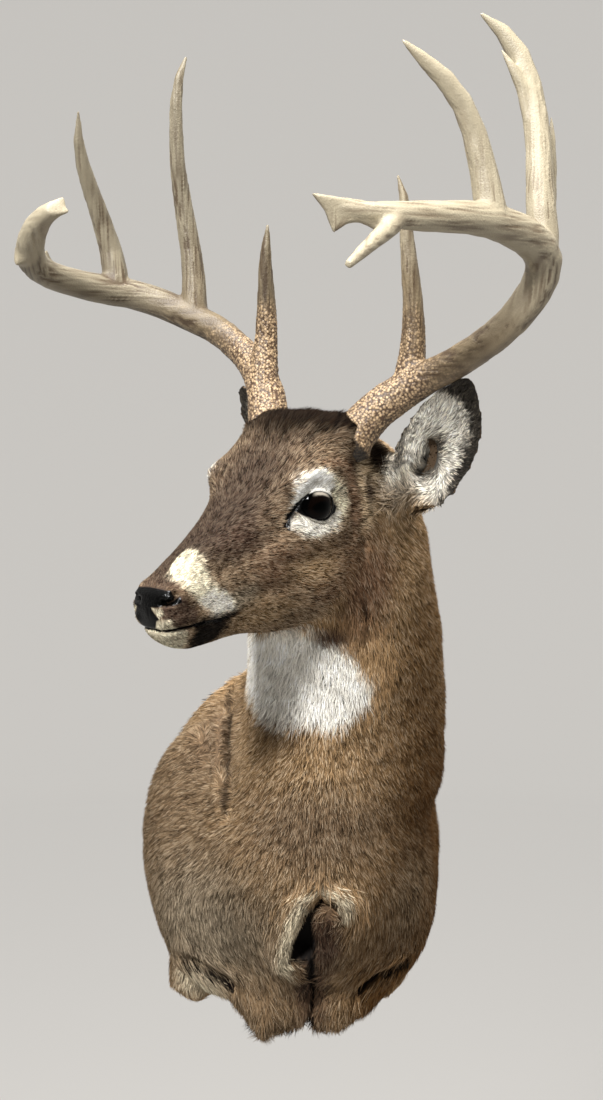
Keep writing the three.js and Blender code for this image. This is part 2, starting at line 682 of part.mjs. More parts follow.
// Colour and roughness of each finish.
const HIDE = [0x846d52, 0.9];
const FACE_HIDE = [0x634e3c, 0.9];
const EAR_HIDE = [0x766f65, 0.9];
const BONE = [0xc9bb9c, 0.55];
const EYE_GLASS = [0x0c0907, 0.06];
const PLYWOOD = [0xc8a878, 0.7];
function place(name, manifold, [color, roughness]) {
  const material = new THREE.MeshStandardMaterial({ color, roughness, metalness: 0 });
  const mesh = new THREE.Mesh(geometryFrom(largest(manifold)), material);
  mesh.name = name;
  group.add(mesh);
}
place("back_board", board, PLYWOOD);
place("trunk", trunk, HIDE);
place("foreleg_root_left", leftLeg, HIDE);
place("foreleg_root_right", rightLeg, HIDE);
place("neck", neck, HIDE);
place("head", head, FACE_HIDE);
place("ear_left", earSolid(1).subtract(headClearance).subtract(neckClearance), EAR_HIDE);
place("ear_right", earSolid(-1).subtract(headClearance).subtract(neckClearance), EAR_HIDE);
place("eye_left", eyeSolid(1, 0), EYE_GLASS);
place("eye_right", eyeSolid(-1, 0), EYE_GLASS);
for (const [name, piece] of Object.entries(leftAntler)) place("antler_left_" + name, piece, BONE);
for (const [name, piece] of Object.entries(rightAntler)) place("antler_right_" + name, piece, BONE);

export default group;
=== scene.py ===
"""Whitetail buck shoulder mount: a hide over its form, a coat of tufts, glass eyes, antlers and a board."""
import json
import math
from contextlib import contextmanager

import bpy
import numpy as np
from bpy.props import FloatProperty, FloatVectorProperty, IntProperty, PointerProperty
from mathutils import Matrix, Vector
from mathutils.bvhtree import BVHTree

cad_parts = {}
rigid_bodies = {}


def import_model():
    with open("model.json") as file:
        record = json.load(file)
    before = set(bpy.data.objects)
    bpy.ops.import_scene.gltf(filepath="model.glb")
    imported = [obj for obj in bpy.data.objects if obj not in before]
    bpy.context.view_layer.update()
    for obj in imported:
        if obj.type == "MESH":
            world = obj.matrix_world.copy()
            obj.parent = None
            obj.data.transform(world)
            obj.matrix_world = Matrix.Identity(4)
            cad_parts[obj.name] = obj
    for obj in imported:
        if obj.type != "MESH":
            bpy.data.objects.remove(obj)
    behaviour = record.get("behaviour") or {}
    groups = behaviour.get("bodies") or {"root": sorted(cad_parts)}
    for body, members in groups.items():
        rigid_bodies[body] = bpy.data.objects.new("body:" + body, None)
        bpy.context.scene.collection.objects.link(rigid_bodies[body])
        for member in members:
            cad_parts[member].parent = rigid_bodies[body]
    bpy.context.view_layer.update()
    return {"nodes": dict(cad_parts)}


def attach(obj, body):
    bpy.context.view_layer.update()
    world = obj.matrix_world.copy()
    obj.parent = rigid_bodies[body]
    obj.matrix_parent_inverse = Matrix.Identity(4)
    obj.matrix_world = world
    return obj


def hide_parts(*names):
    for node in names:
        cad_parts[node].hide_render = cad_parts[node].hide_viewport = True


bl_info = {
    "name": "Whitetail shoulder mount",
    "version": (1, 0, 0),
    "blender": (4, 5, 0),
    "location": "View3D > Sidebar > Deer",
    "description": "Hide, coat, eyes, antlers and board of a whitetail buck shoulder mount",
    "category": "Add Mesh",
}

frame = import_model()
NODES = frame["nodes"]

MM = 0.001
FLESH = ["trunk", "foreleg_root_left", "foreleg_root_right", "neck", "head", "ear_left", "ear_right"]

EAR_SWELL = 1.0 * MM  # so that the thin rims of the ears survive the remesh
JOIN_SWELL = 0.4 * MM  # so that neighbouring nodes run into each other

# ---------------------------------------------------------------- head frame
# Millimetres forward to the nose, to the deer's left and up, from between the eyes.
HEAD_ORIGIN = np.array((-29.5, -436.6, 421.5))
HEAD_YAW, HEAD_PITCH, HEAD_ROLL = (math.radians(angle) for angle in (41.0, 11.8, -3.1))
HEAD_SCALE = 1.04
EYE_CENTRE = np.array((-1.0, 45.5, 3.5))
EYE_RADIUS = 19.0


def head_axes():
    """Rows: forward, left and up of the head in the world."""
    sin_yaw, cos_yaw, cos_pitch = math.sin(HEAD_YAW), math.cos(HEAD_YAW), math.cos(HEAD_PITCH)
    forward = np.array((-sin_yaw * cos_pitch, -cos_yaw * cos_pitch, -math.sin(HEAD_PITCH)))
    level = np.array((cos_yaw, -sin_yaw, 0.0))
    upright = np.cross(forward, level)
    upright /= np.linalg.norm(upright)
    left = level * math.cos(HEAD_ROLL) + upright * math.sin(HEAD_ROLL)
    up = upright * math.cos(HEAD_ROLL) - level * math.sin(HEAD_ROLL)
    return np.array((forward, left, up))


AXES = head_axes()


def to_head(points):
    """World metres to head millimetres."""
    return (points / MM - HEAD_ORIGIN) @ AXES.T / HEAD_SCALE


def from_head(points):
    """Head millimetres to world metres."""
    return (HEAD_ORIGIN + HEAD_SCALE * (np.asarray(points, float) @ AXES)) * MM


# ---------------------------------------------------------------- numbers on many points
FAR_OFF = 60.0  # millimetres: farther than any mark reaches
SEEN_DEPTH = 45  # millimetres: how far in front of or behind a line it still marks the skin


def unit(vectors):
    return vectors / np.maximum(np.linalg.norm(vectors, axis=-1, keepdims=True), 1e-12)


def ramp(value, low, high):
    """0 below low, 1 above high and smooth between."""
    t = np.clip((value - low) / (high - low), 0, 1)
    return t * t * (3 - 2 * t)


def mix(a, b, amount):
    return a + (b - a) * amount


def tint(rows, other, amount):
    """Mixes another colour or direction into each row, by that row's own amount."""
    return mix(rows, other, amount[:, None])


def flat_on(vectors, normals):
    """Vectors laid into the surface that has these normals."""
    return unit(vectors - normals * np.sum(vectors * normals, axis=1, keepdims=True))


def lattice(cells, seed):
    """A fixed random number from -1 to 1 for each whole-numbered cell."""
    mask = (1 << 32) - 1
    value = (cells @ np.array((73856093, 19349663, 83492791)) + seed * 2654435) & mask
    value = ((value ^ (value >> 15)) * 2246822519) & mask
    value = ((value ^ (value >> 13)) * 3266489917) & mask
    return ((value ^ (value >> 16)) & 65535) / 32767.5 - 1


def noise(points, size, seed):
    """Smooth random field from -1 to 1 whose lumps have the given size."""
    scaled = points / size
    base = np.floor(scaled).astype(np.int64)
    t = scaled - base
    t = t * t * (3 - 2 * t)
    total = np.zeros(len(points))
    for corner in np.ndindex(2, 2, 2):
        weight = np.prod(np.where(corner, t, 1 - t), axis=1)
        total += weight * lattice(base + corner, seed)
    return total


def noise_vectors(points, size, seed):
    return np.stack([noise(points, size, seed + k) for k in range(3)], axis=1)


def pearls(points, size, seed):
    """Domes of about the given size: 1 at each dome's top, 0 between them."""
    scaled = points / size
    base = np.floor(scaled).astype(np.int64)
    nearest = np.full(len(points), 9.0)
    for corner in np.ndindex(3, 3, 3):
        cell = base + np.array(corner) - 1
        seat = cell + 0.5 + 0.4 * np.stack([lattice(cell, seed + k) for k in range(3)], axis=1)
        nearest = np.minimum(nearest, np.linalg.norm(scaled - seat, axis=1))
    return np.clip(1 - nearest / 0.7, 0, 1)


def line_distance(points, line):
    """Distance from each point to a line through a few places."""
    nearest = np.full(len(points), 1e9)
    for start, end in zip(line[:-1], line[1:]):
        start, end = np.array(start, float), np.array(end, float)
        along = end - start
        t = np.clip((points - start) @ along / (along @ along), 0, 1)
        nearest = np.minimum(nearest, np.linalg.norm(points - start - t[:, None] * along, axis=1))
    return nearest


def side_view(points):
    """Two of three numbers: the head as seen from its side, and the body as seen from its front."""
    return points[:, (0, 2)]


def seen_distance(points, line):
    """Distance to a line as seen from the head's side or the body's front, for points near it in depth."""
    line = np.array(line, float)
    flat = line_distance(side_view(points), side_view(line))
    return np.where(line_distance(points, line) < SEEN_DEPTH, flat, FAR_OFF)


def outline_gap(points, outline):
    """Distance from flat points to a closed outline: positive outside it and negative inside."""
    closed = [*outline, outline[0]]
    gap = line_distance(points, closed)
    inside = np.zeros(len(points), bool)
    for (x0, y0), (x1, y1) in zip(closed[:-1], closed[1:]):
        if y0 != y1:
            crosses = (points[:, 1] < y0) != (points[:, 1] < y1)
            inside ^= crosses & (points[:, 0] < x0 + (points[:, 1] - y0) * (x1 - x0) / (y1 - y0))
    return np.where(inside, -gap, gap)


def mirrored(points):
    """Head points with both sides folded onto the left one."""
    return points * np.array((1, 0, 1)) + np.abs(points) * np.array((0, 1, 0))


# ---------------------------------------------------------------- meshes
def read(collection, attribute, width=3, kind=np.float32):
    """Rows of numbers, one for each member of a mesh's collection."""
    data = np.empty(len(collection) * width, kind)
    collection.foreach_get(attribute, data)
    return data.reshape(-1, width)


def write(collection, attribute, values, kind=np.float32):
    collection.foreach_set(attribute, np.asarray(values, kind).ravel())


def positions(obj):
    return read(obj.data.vertices, "co").astype(float)


def set_positions(obj, points):
    write(obj.data.vertices, "co", points)
    obj.data.update()


def normals_of(obj):
    return read(obj.data.vertex_normals, "vector").astype(float)


def edges_of(obj):
    return read(obj.data.edges, "vertices", 2, np.int32)


def spread(values, edges, rounds, amount=0.5):
    """Evens values out over a mesh. Amount may be one number or one for each vertex."""
    values = np.array(values, float)
    columns = values.reshape(len(values), -1)
    both = np.concatenate((edges, edges[:, ::-1]))
    count = np.maximum(np.bincount(both[:, 0], minlength=len(values)), 1)
    keep = np.broadcast_to(amount, len(values))
    for _ in range(rounds):
        for k in range(columns.shape[1]):
            total = np.bincount(both[:, 0], columns[both[:, 1], k], minlength=len(values))
            columns[:, k] += keep * (total / count - columns[:, k])
    return columns.reshape(values.shape)


def deselect():
    if bpy.context.object and bpy.context.object.mode != "OBJECT":
        bpy.ops.object.mode_set(mode="OBJECT")
    bpy.ops.object.select_all(action="DESELECT")


def choose(obj):
    deselect()
    obj.select_set(True)
    bpy.context.view_layer.objects.active = obj


def select_only(mesh, part, chosen):
    """Selects these of a mesh's vertices or polygons, and nothing else of it."""
    for name in ("vertices", "edges", "polygons"):
        members = getattr(mesh, name)
        write(members, "select", chosen if name == part else np.zeros(len(members)), bool)


@contextmanager
def editing(obj, everything=True):
    """Edit mode on one object, with all of its mesh selected or what was selected before."""
    choose(obj)
    bpy.ops.object.mode_set(mode="EDIT")
    if everything:
        bpy.ops.mesh.select_all(action="SELECT")
    yield
    bpy.ops.object.mode_set(mode="OBJECT")


def apply_modifier(obj, kind, **settings):
    choose(obj)
    bpy.ops.object.modifier_add(type=kind)
    modifier = obj.modifiers[-1]
    for key, value in settings.items():
        setattr(modifier, key, value)
    bpy.ops.object.modifier_apply(modifier=modifier.name)


def swell(obj, amount):
    """Makes a mesh whole and moves its surface outwards."""
    with editing(obj):
        bpy.ops.mesh.remove_doubles(threshold=0.01 * MM)
        bpy.ops.mesh.normals_make_consistent(inside=False)
        bpy.ops.transform.shrink_fatten(value=amount)


def drop_crumbs(obj):
    """Keeps only the piece of a mesh that its first lowest vertex belongs to."""
    lowest = np.argmin(positions(obj)[:, 2])
    select_only(obj.data, "vertices", np.arange(len(obj.data.vertices)) == lowest)
    with editing(obj, everything=False):
        bpy.ops.mesh.select_mode(type="VERT")
        bpy.ops.mesh.select_linked()
        bpy.ops.mesh.select_all(action="INVERT")
        bpy.ops.mesh.delete(type="VERT")


def joined_copy(nodes, name, grow):
    """One mesh of copies of CAD nodes, each made whole and grown so that they run into each other."""
    deselect()
    copies = []
    for part in nodes:
        copy = NODES[part].copy()
        copy.data = NODES[part].data.copy()
        copy.parent = None
        for key in list(copy.keys()):
            del copy[key]
        bpy.context.scene.collection.objects.link(copy)
        copies.append(copy)
        if part.startswith("ear_"):
            swell(copy, EAR_SWELL)
    deselect()
    for copy in copies:
        copy.select_set(True)
    bpy.context.view_layer.objects.active = copies[0]
    bpy.ops.object.join()
    obj = bpy.context.object
    obj.name = obj.data.name = name
    obj.data.materials.clear()
    swell(obj, grow)
    return obj


def refine(obj, chosen_vertices):
    """Halves the faces whose corners are all chosen."""
    mesh = obj.data
    loops = read(mesh.loops, "vertex_index", 1, np.int32)[:, 0]
    totals = read(mesh.polygons, "loop_total", 1, np.int32)[:, 0]
    owner = np.repeat(np.arange(len(totals)), totals)
    inside = np.bincount(owner, chosen_vertices[loops], minlength=len(totals)) == totals
    select_only(mesh, "polygons", inside)
    with editing(obj, everything=False):
        bpy.ops.mesh.select_mode(type="FACE")
        bpy.ops.mesh.subdivide(number_cuts=1)


def paint(obj, name, colours):
    """Stores one linear colour for each vertex under this name."""
    attribute = obj.data.color_attributes.new(name, "FLOAT_COLOR", "POINT")
    write(attribute.data, "color", np.column_stack((colours, np.ones(len(colours)))))


def measure(obj, name, values):
    """Stores one number for each vertex under this name."""
    write(obj.data.attributes.new(name, "FLOAT", "POINT").data, "value", values)


def finish_piece(obj, material, slot, *nodes):
    obj.data.materials.clear()
    obj.data.materials.append(material)
    write(obj.data.polygons, "use_smooth", np.ones(len(obj.data.polygons)), bool)
    obj.data.update()
    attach(obj, "root")
    if nodes:
        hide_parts(*nodes)


# ---------------------------------------------------------------- colours and materials
def linear(hex_colour):
    """Linear RGB of an sRGB hex colour."""
    channels = [int(hex_colour[k:k + 2], 16) / 255 for k in (1, 3, 5)]
    return tuple(c / 12.92 if c <= 0.04045 else ((c + 0.055) / 1.055) ** 2.4 for c in channels)


def new_material(name):
    material = bpy.data.materials.new(name)
    material.use_nodes = True
    return material, material.node_tree.nodes["Principled BSDF"]


def feed(target, inputs):
    """Gives a node's inputs their values, or links them from sockets."""
    for key, value in inputs.items():
        if isinstance(value, bpy.types.NodeSocket):
            target.id_data.links.new(value, target.inputs[key])
        else:
            target.inputs[key].default_value = value


def node(material, kind, inputs, output=0, **settings):
    """Adds a node and returns one of its outputs. Settings are its own, inputs are values or sockets."""
    added = material.node_tree.nodes.new("ShaderNode" + kind)
    for key, value in settings.items():
        setattr(added, key, value)
    feed(added, inputs)
    return added.outputs[output]


def palette_of(settings):
    """The colours among a group's settings, as linear numbers by name."""
    values = {name: getattr(settings, name) for name in settings.__annotations__}
    return {name: np.array(value) for name, value in values.items() if not isinstance(value, (int, float))}


def hide_material():
    """Tanned deerskin under its coat: short hair drawn as fine bump, wet black where the skin is bare."""
    material, shader = new_material("Tanned deerskin with short hair")
    colour = node(material, "Attribute", {}, "Color", attribute_name="Markings")
    wet = node(material, "Attribute", {}, "Fac", attribute_name="Bare")
    place = node(material, "TexCoord", {}, "Object")
    # Hair shafts are finer than a pixel, so they are drawn about 1.1 mm apart.
    grain = node(material, "TexNoise", {"Vector": place, "Scale": 900, "Detail": 3}, "Fac")
    # The bare nose is cobbled in cells of about 1.6 mm.
    cobble = node(material, "TexVoronoi", {"Vector": place, "Scale": 620}, "Distance")
    height = node(material, "Mix", {0: wet, 2: grain, 3: cobble})
    tone = node(material, "MapRange", {"Value": grain, "To Min": 0.75, "To Max": 1.2})
    feed(shader, {
        "Base Color": node(material, "VectorMath", {0: colour, "Scale": tone}, operation="SCALE"),
        "Roughness": node(material, "MapRange", {"Value": wet, "To Min": 0.8, "To Max": 0.24}),
        "Specular IOR Level": 0.18,
        "Normal": node(material, "Bump", {"Height": height, "Strength": 0.5, "Distance": 0.6 * MM}),
    })
    return material


def coat_material():
    """Deer hair: hollow, straight shafts with a soft, dry gloss along them."""
    material, shader = new_material("Deer hair")
    colour = node(material, "Attribute", {}, "Color", attribute_name="Markings")
    feed(shader, {"Base Color": colour, "Roughness": 0.75, "Specular IOR Level": 0.04})
    return material


def antler_material():
    """Dry antler: bone with a low satin gloss, stained in its grooves and between the base's pearls."""
    material, shader = new_material("Weathered antler")
    settings = bpy.context.scene.deer_antler
    worn = node(material, "Attribute", {}, "Color", attribute_name="Markings")
    pearled = node(material, "Attribute", {}, "Fac", attribute_name="Pearled")
    # Painted shade where the antler meets the scalp, as a factor on its brightness.
    light = node(material, "Attribute", {}, "Fac", attribute_name="Light")
    place = node(material, "TexCoord", {}, "Object")
    # Pearls about 2.6 mm across, some rubbed paler than others.
    gap = node(material, "TexVoronoi", {"Vector": place, "Scale": 390}, "Distance")
    bead = node(material, "MapRange", {"Value": gap, "From Min": 0.7, "From Max": 0.34})
    tint_of_cell = gap.node.outputs["Color"]
    rubbed = node(material, "MapRange", {"Value": tint_of_cell, "From Min": 0.2, "From Max": 0.8,
                                         "To Min": 0.35, "To Max": 1.1})
    rubbed = node(material, "Math", {0: rubbed, 1: bead}, operation="MULTIPLY")
    stains = {0: rubbed, 6: (*settings.stain, 1), 7: (*settings.pearl, 1)}
    warm = node(material, "Mix", stains, 2, data_type="RGBA")
    colour = node(material, "Mix", {0: pearled, 6: worn, 7: warm}, 2, data_type="RGBA")
    # Pores and hairline cracks, 1.4 mm apart and finer.
    pores = node(material, "TexNoise", {"Vector": place, "Scale": 700, "Detail": 4}, "Fac")
    tone = node(material, "MapRange", {"Value": pores, "To Min": 0.82, "To Max": 1.14})
    tone = node(material, "Math", {0: tone, 1: light}, operation="MULTIPLY")
    height = node(material, "Mix", {0: pearled, 2: pores, 3: bead})
    feed(shader, {
        "Base Color": node(material, "VectorMath", {0: colour, "Scale": tone}, operation="SCALE"),
        "Roughness": node(material, "MapRange", {"Value": pores, "To Min": 0.4, "To Max": 0.62}),
        "Normal": node(material, "Bump", {"Height": height, "Strength": 0.6, "Distance": 0.8 * MM}),
    })
    return material


def eye_material():
    """Moulded glass eye: dark brown, back-painted, under a polished clear face."""
    material, shader = new_material("Back-painted glass eye")
    colour = node(material, "Attribute", {}, "Color", attribute_name="Markings")
    feed(shader, {"Base Color": colour, "Roughness": 0.03, "IOR": 1.18, "Specular IOR Level": 0.3})
    return material


def plywood_material():
    """Bare birch plywood: pale face with long grain, darker glue lines on its edge."""
    material, shader = new_material("Bare birch plywood")
    place = node(material, "TexCoord", {}, "Object")
    # Grain runs upright: lines about 4 mm apart across the board.
    long_way = node(material, "Mapping", {"Vector": place, "Scale": (250, 250, 12)})
    grain = node(material, "TexNoise", {"Vector": long_way, "Scale": 1, "Detail": 5}, "Fac")
    face = node(material, "ValToRGB", {"Fac": grain})
    for element, colour in zip(face.node.color_ramp.elements, ("#b98f5c", "#dcb987")):
        element.color = (*linear(colour), 1)
    # Veneers 1.4 mm thick, one dark glue line to each pair.
    veneers = {"Vector": place, "Scale": 110, "Distortion": 0.6}
    wave = node(material, "TexWave", veneers, "Fac", bands_direction="Y")
    line = node(material, "MapRange", {"Value": wave, "From Min": 0.75, "To Min": 1.0, "To Max": 0.55})
    feed(shader, {
        "Base Color": node(material, "VectorMath", {0: face, "Scale": line}, operation="SCALE"),
        "Roughness": 0.65,
        "Normal": node(material, "Bump", {"Height": grain, "Strength": 0.2, "Distance": 0.5 * MM}),
    })
    return material


# ---------------------------------------------------------------- settings
def colour_setting(name, description, hex_colour):
    return FloatVectorProperty(name=name, description=description, subtype="COLOR", size=3, min=0, max=1,
                               default=linear(hex_colour))


def length_setting(name, description, millimetres):
    return FloatProperty(name=name, description=description, default=millimetres * MM, unit="LENGTH")


def count_setting(name, description, count):
    return IntProperty(name=name, description=description, default=count)


class HideSettings(bpy.types.PropertyGroup):
    voxel: length_setting("Voxel", "Fineness of the hide", 2.6)
    body_depth: length_setting("Body coat depth", "From the skin to the tips on the body", 6.5)
    face_depth: length_setting("Face coat depth", "From the skin to the tips on the face", 1.6)
    neck: colour_setting("Neck", "Brown of the neck", "#a1825d")
    shoulder: colour_setting("Shoulder", "Greyer brown of the shoulders and chest", "#79634a")
    # Painted shade: this darker brown goes on the deer's left side, away from the key light, and in the gap
    # under the hem on that side.
    shade: colour_setting("Shade", "Darker brown of the flank and the back of the neck", "#5b3c1b")
    face: colour_setting("Face", "Grey brown of the cheeks", "#7d664e")
    bridge: colour_setting("Bridge", "Grizzled top of the nose", "#3d2f25")
    cheek: colour_setting("Cheek", "Red brown below the eye", "#7a5c45")
    # Crown is also painted shade along the crease between the neck and the right shoulder.
    crown: colour_setting("Crown", "Nearly black brown of the crown", "#190e06")
    white: colour_setting("White", "Eye rings, throat and chin", "#f7f2e6")
    # Cream is also a painted highlight along the fold's rim.
    cream: colour_setting("Cream", "Band round the muzzle", "#c6baa0")
    tan: colour_setting("Tan", "Warm edge of the white marks", "#bfa47f")
    grey: colour_setting("Grey", "Hair inside the ears", "#d6cfc1")
    # Dark is also painted shade: in the fold between the forelegs, along its seam, in the jaw's crease and
    # in the gaps under the hems.
    dark: colour_setting("Dark", "Ear rims and the lip spot", "#150f0b")
    # Umber also serves as painted shade: in the fold's knot, along the seam between the forelegs and under
    # the jaw.
    umber: colour_setting("Umber", "Upper lip below the nostrils", "#4d3a2e")
    silver: colour_setting("Silver", "Hoary hair low on the chest", "#8a7b66")
    bare: colour_setting("Bare", "Bare skin of the nose and lids", "#020202")


class CoatSettings(bpy.types.PropertyGroup):
    neck_length: length_setting("Neck hair", "Length of a tuft on the neck", 7.5)
    chest_length: length_setting("Chest hair", "Length of a tuft low on the chest", 26)
    face_length: length_setting("Face hair", "Length of a tuft on the cheek", 6.5)
    body_tufts: count_setting("Body tufts", "Short tufts on the trunk and neck", 180000)
    long_tufts: count_setting("Long tufts", "Bent tufts on throat, chest and hems", 36000)
    head_tufts: count_setting("Head tufts", "Tufts on the head", 98000)
    ear_tufts: count_setting("Ear tufts", "Tufts on both ears", 15000)


class AntlerSettings(bpy.types.PropertyGroup):
    voxel: length_setting("Voxel", "Fineness of the antlers", 1.4)
    ivory: colour_setting("Ivory", "Polished front of the antler", "#988e78")
    brown: colour_setting("Brown", "Stain of the grooves", "#5f503e")
    pearl: colour_setting("Pearl", "Worn tops of the pearls at the base", "#ae9472")
    stain: colour_setting("Stain", "Between the pearls", "#463425")


# ---------------------------------------------------------------- the hide's own map
class Skin:
    """The finished hide with what the coat needs to know at each of its vertices."""

    def __init__(self, obj):
        self.obj = obj
        self.points = positions(obj)
        self.normals = normals_of(obj)
        self.tree = BVHTree.FromObject(obj, bpy.context.evaluated_depsgraph_get())


made = {}  # what one operator makes and a later one uses
NECK_BLEND = 22 * MM  # half the width over which the head turns to neck


def head_weight(world):
    """1 on the head, 0 on the neck, along the plane behind the jaw."""
    poll, latch = from_head((-122, 0, 42)), from_head((4, 0, -118))
    middle = (poll + latch) / 2
    across = AXES[1]
    ahead = np.cross(across, unit(poll - latch))
    if ahead @ AXES[0] < 0:
        ahead = -ahead
    return ramp((world - middle) @ ahead, -NECK_BLEND, NECK_BLEND)


def eye_angles(head_points, side):
    """Angles across and up the eye from its axis, in degrees, and the distance from its centre."""
    centre = EYE_CENTRE * (1, side, 1)
    axis = unit(np.array((0.35, 0.937 * side, 0.0)))
    front = unit(np.array((1, 0, 0)) - axis * axis[0])
    offset = head_points - centre
    distance = np.linalg.norm(offset, axis=1)
    direction = unit(offset)
    across = np.degrees(np.arctan2(direction @ front, direction @ axis))
    rise = np.degrees(np.arcsin(np.clip(direction[:, 2], -1, 1)))
    return across, rise, distance


# Outline of the dark skin round the eye, forward and up in the head frame, and the angles at its corners.
LID_OUTLINE = [(25.5, 4.5), (23, 10), (18.5, 14), (12.5, 16.8), (6, 17.8), (0, 16.6), (-6, 13.4),
               (-11.5, 8.8), (-17, 3), (-21, -3), (-17, -7.6), (-10, -10.2), (0, -11), (7.5, -9.2),
               (14, -5.4), (20, -1.2)]
LID_WIDTH = 1.5
OPEN_REAR, OPEN_FRONT = -50.0, 58.0  # degrees
TEAR_DUCT = [(23, 51, 8), (28.4, 49.2, 3.8), (32.7, 48, 0.8), (35.9, 47.8, -2.9), (38.2, 49, -7.5)]


def lid_gaps(head_points, side):
    """Millimetres outside the dark skin, and outside the opening in it, for the eye on one side."""
    gap = outline_gap(side_view(head_points), LID_OUTLINE)
    across, _, distance = eye_angles(head_points, side)
    corner = np.maximum(across - OPEN_FRONT, OPEN_REAR - across) * math.radians(1) * EYE_RADIUS
    near = (distance < FAR_OFF) & (head_points[:, 1] * side > 20)
    opening = np.maximum(gap + LID_WIDTH, corner)
    return np.where(near, gap, FAR_OFF), np.where(near, opening, FAR_OFF)


def eye_gap(head_points):
    """Millimetres outside the dark skin of the nearer eye."""
    return np.minimum(lid_gaps(head_points, 1)[0], lid_gaps(head_points, -1)[0])


# Marks carved or raised on the head, folded to its left: line, radius and height in millimetres.
MOUTH = [(89, 29, -74), (107, 26, -74.5), (119, 26, -73), (131, 25, -70.5), (143, 24.5, -70),
         (159, 21, -68.5), (168, 13, -69.5), (171, 0, -70.5)]
SIDE_STROKES = [(MOUTH, 1.9, -4.0), (TEAR_DUCT, 2.0, -3.0)]
HEAD_STROKES = [
    ([(104, 25, -82), (131, 23, -79), (152, 18, -76), (162, 0, -77)], 3.6, 1.2),  # lower lip
    ([(100, 29, -66), (131, 26, -64), (154, 24, -59), (168, 17, -60)], 4.5, 1.6),  # upper lip
    # nostril
    ([(170, 14, -43), (168, 20, -43), (164, 24.5, -41), (159, 26, -37), (160, 23, -34.5)], 2.9, -8.5),
    ([(172, 4, -41), (171, 10, -39.5), (169, 16, -38)], 1.6, -3.4),  # slit above it
    ([(171, 11, -42), (168, 17, -40), (165, 20.5, -38.2)], 1.0, 2.6),  # its inner fold
    ([(168, 15, -34), (163, 21, -32), (157, 25, -33), (154, 27.5, -39)], 3.0, 1.8),  # wing
    ([(171, 14, -47.5), (165, 25, -47), (158, 28, -43)], 2.0, 1.2),  # rim below the nostril
    ([(173, 0, -49), (173, 0, -66)], 1.3, -1.5),  # philtrum
    ([(26, 50, 20), (16, 54, 28), (2, 57, 30), (-12, 58, 25)], 1.6, -0.5),  # crease of the upper lid
    ([(30, 50, 20), (12, 57, 28), (-14, 59, 27)], 8.0, 1.6),  # lid over the glass
    ([(60, 38, -28), (20, 52, -30), (-24, 60, -26)], 8.0, 2.2),  # cheekbone
    ([(70, 34, -60), (30, 42, -62), (4, 48, -92)], 9.0, -2.6),  # before the jaw muscle
    ([(120, 24, -30), (80, 30, -24), (50, 38, -14)], 9.0, -2.2),  # hollow beside the nose
    ([(-44, 58, 22), (-44, 60, -2), (-40, 60, -22), (-34, 58, -40)], 4.5, -1.8),  # behind the eye
    ([(-58, 58, 12), (-60, 60, -10), (-56, 58, -34)], 5.0, 1.6),
    ([(-52, 58, -30), (-66, 58, -70), (-52, 52, -104)], 6.0, -4.0),  # behind the jaw
    # scalp round the antler's base
    ([(-42, 50, 57), (-48, 59, 50), (-60, 64, 44), (-74, 64, 44)], 8.0, 6.0),
]

# The white of the throat, sideways and up in world millimetres, with a brown spot at its lower left.
THROAT_OUTLINE = [(-52, 282), (-25, 304), (24, 300), (46, 280), (60, 260), (68, 244), (66, 226), (52, 211),
                  (34, 200), (18, 202), (4, 204), (-6, 198), (-20, 194), (-38, 200), (-49, 216), (-54, 240)]
THROAT_SPOT = ((-16, -362, 198), (23, 40, 18))

# Lines on the body, in world millimetres, and the marks carved or raised along them.
FOLD_RIM = [(46, -358, 4), (42, -362, 18), (32, -366, 26), (16, -368, 30), (4, -366, 20), (-4, -361, 2),
            (-10, -354, -18), (-15, -344, -42), (-18, -328, -66)]
HEM_GAPS = [
    [(-120, -256, -80), (-104, -264, -84), (-90, -268, -92), (-72, -266, -104)],
    [(70, -276, -106), (86, -274, -92), (104, -268, -86), (122, -256, -84)],
]
SEAM = [(14, -344, -56), (17, -314, -87), (18, -275, -128), (12, -262, -150)]
NECK_CREASE = [(-72, -60, 205), (-72, -95, 180), (-74, -165, 148), (-74, -230, 132), (-74, -268, 120),
               (-74, -292, 100), (-74, -299, 88)]
JAW_CREASE = [(61, -415, 330), (64, -407, 308), (59, -399, 287)]
BODY_STROKES = [
    (NECK_CREASE, 5.0, -10.0),
    ([(-84, -130, 172), (-84, -177, 141), (-86, -223, 122), (-86, -266, 99)], 5.0, 5.0),  # fold beside it
    ([(-95, -150, 150), (-93, -200, 128), (-92, -250, 104)], 3.5, -3.0),
    (SEAM, 4.5, -10.0),
    (FOLD_RIM, 7.0, 5.0),
    ([(30, -361, -1), (30, -361, -3)], 7.0, 5.0),  # knot of hair inside the fold
    ([(45, -373, 156), (49, -372, 145), (54, -368, 128)], 5.0, -2.0),
    (JAW_CREASE, 2.6, -2.6),
    # under the hem
    ([(-128, -252, -76), (-109, -264, -80), (-96, -269, -87), (-70, -266, -104)], 7.0, -9.0),
    ([(-128, -252, -62), (-109, -266, -66), (-90, -274, -74), (-64, -276, -90)], 6.0, 3.0),  # the hem
    ([(67, -277, -108), (83, -275, -95), (102, -270, -89), (129, -252, -85)], 7.0, -8.0),
    ([(67, -279, -94), (83, -278, -80), (102, -273, -73), (129, -255, -69)], 6.0, 3.0),
    ([(-138, -250, 40), (-136, -256, -20), (-122, -256, -62)], 8.0, 3.5),  # ridge of the right shoulder
]
# Lines with painted shade along them, and how wide.
DARK_LINES = [(SEAM, 5.0), (JAW_CREASE, 1.0), *((line, 4.5) for line in HEM_GAPS)]
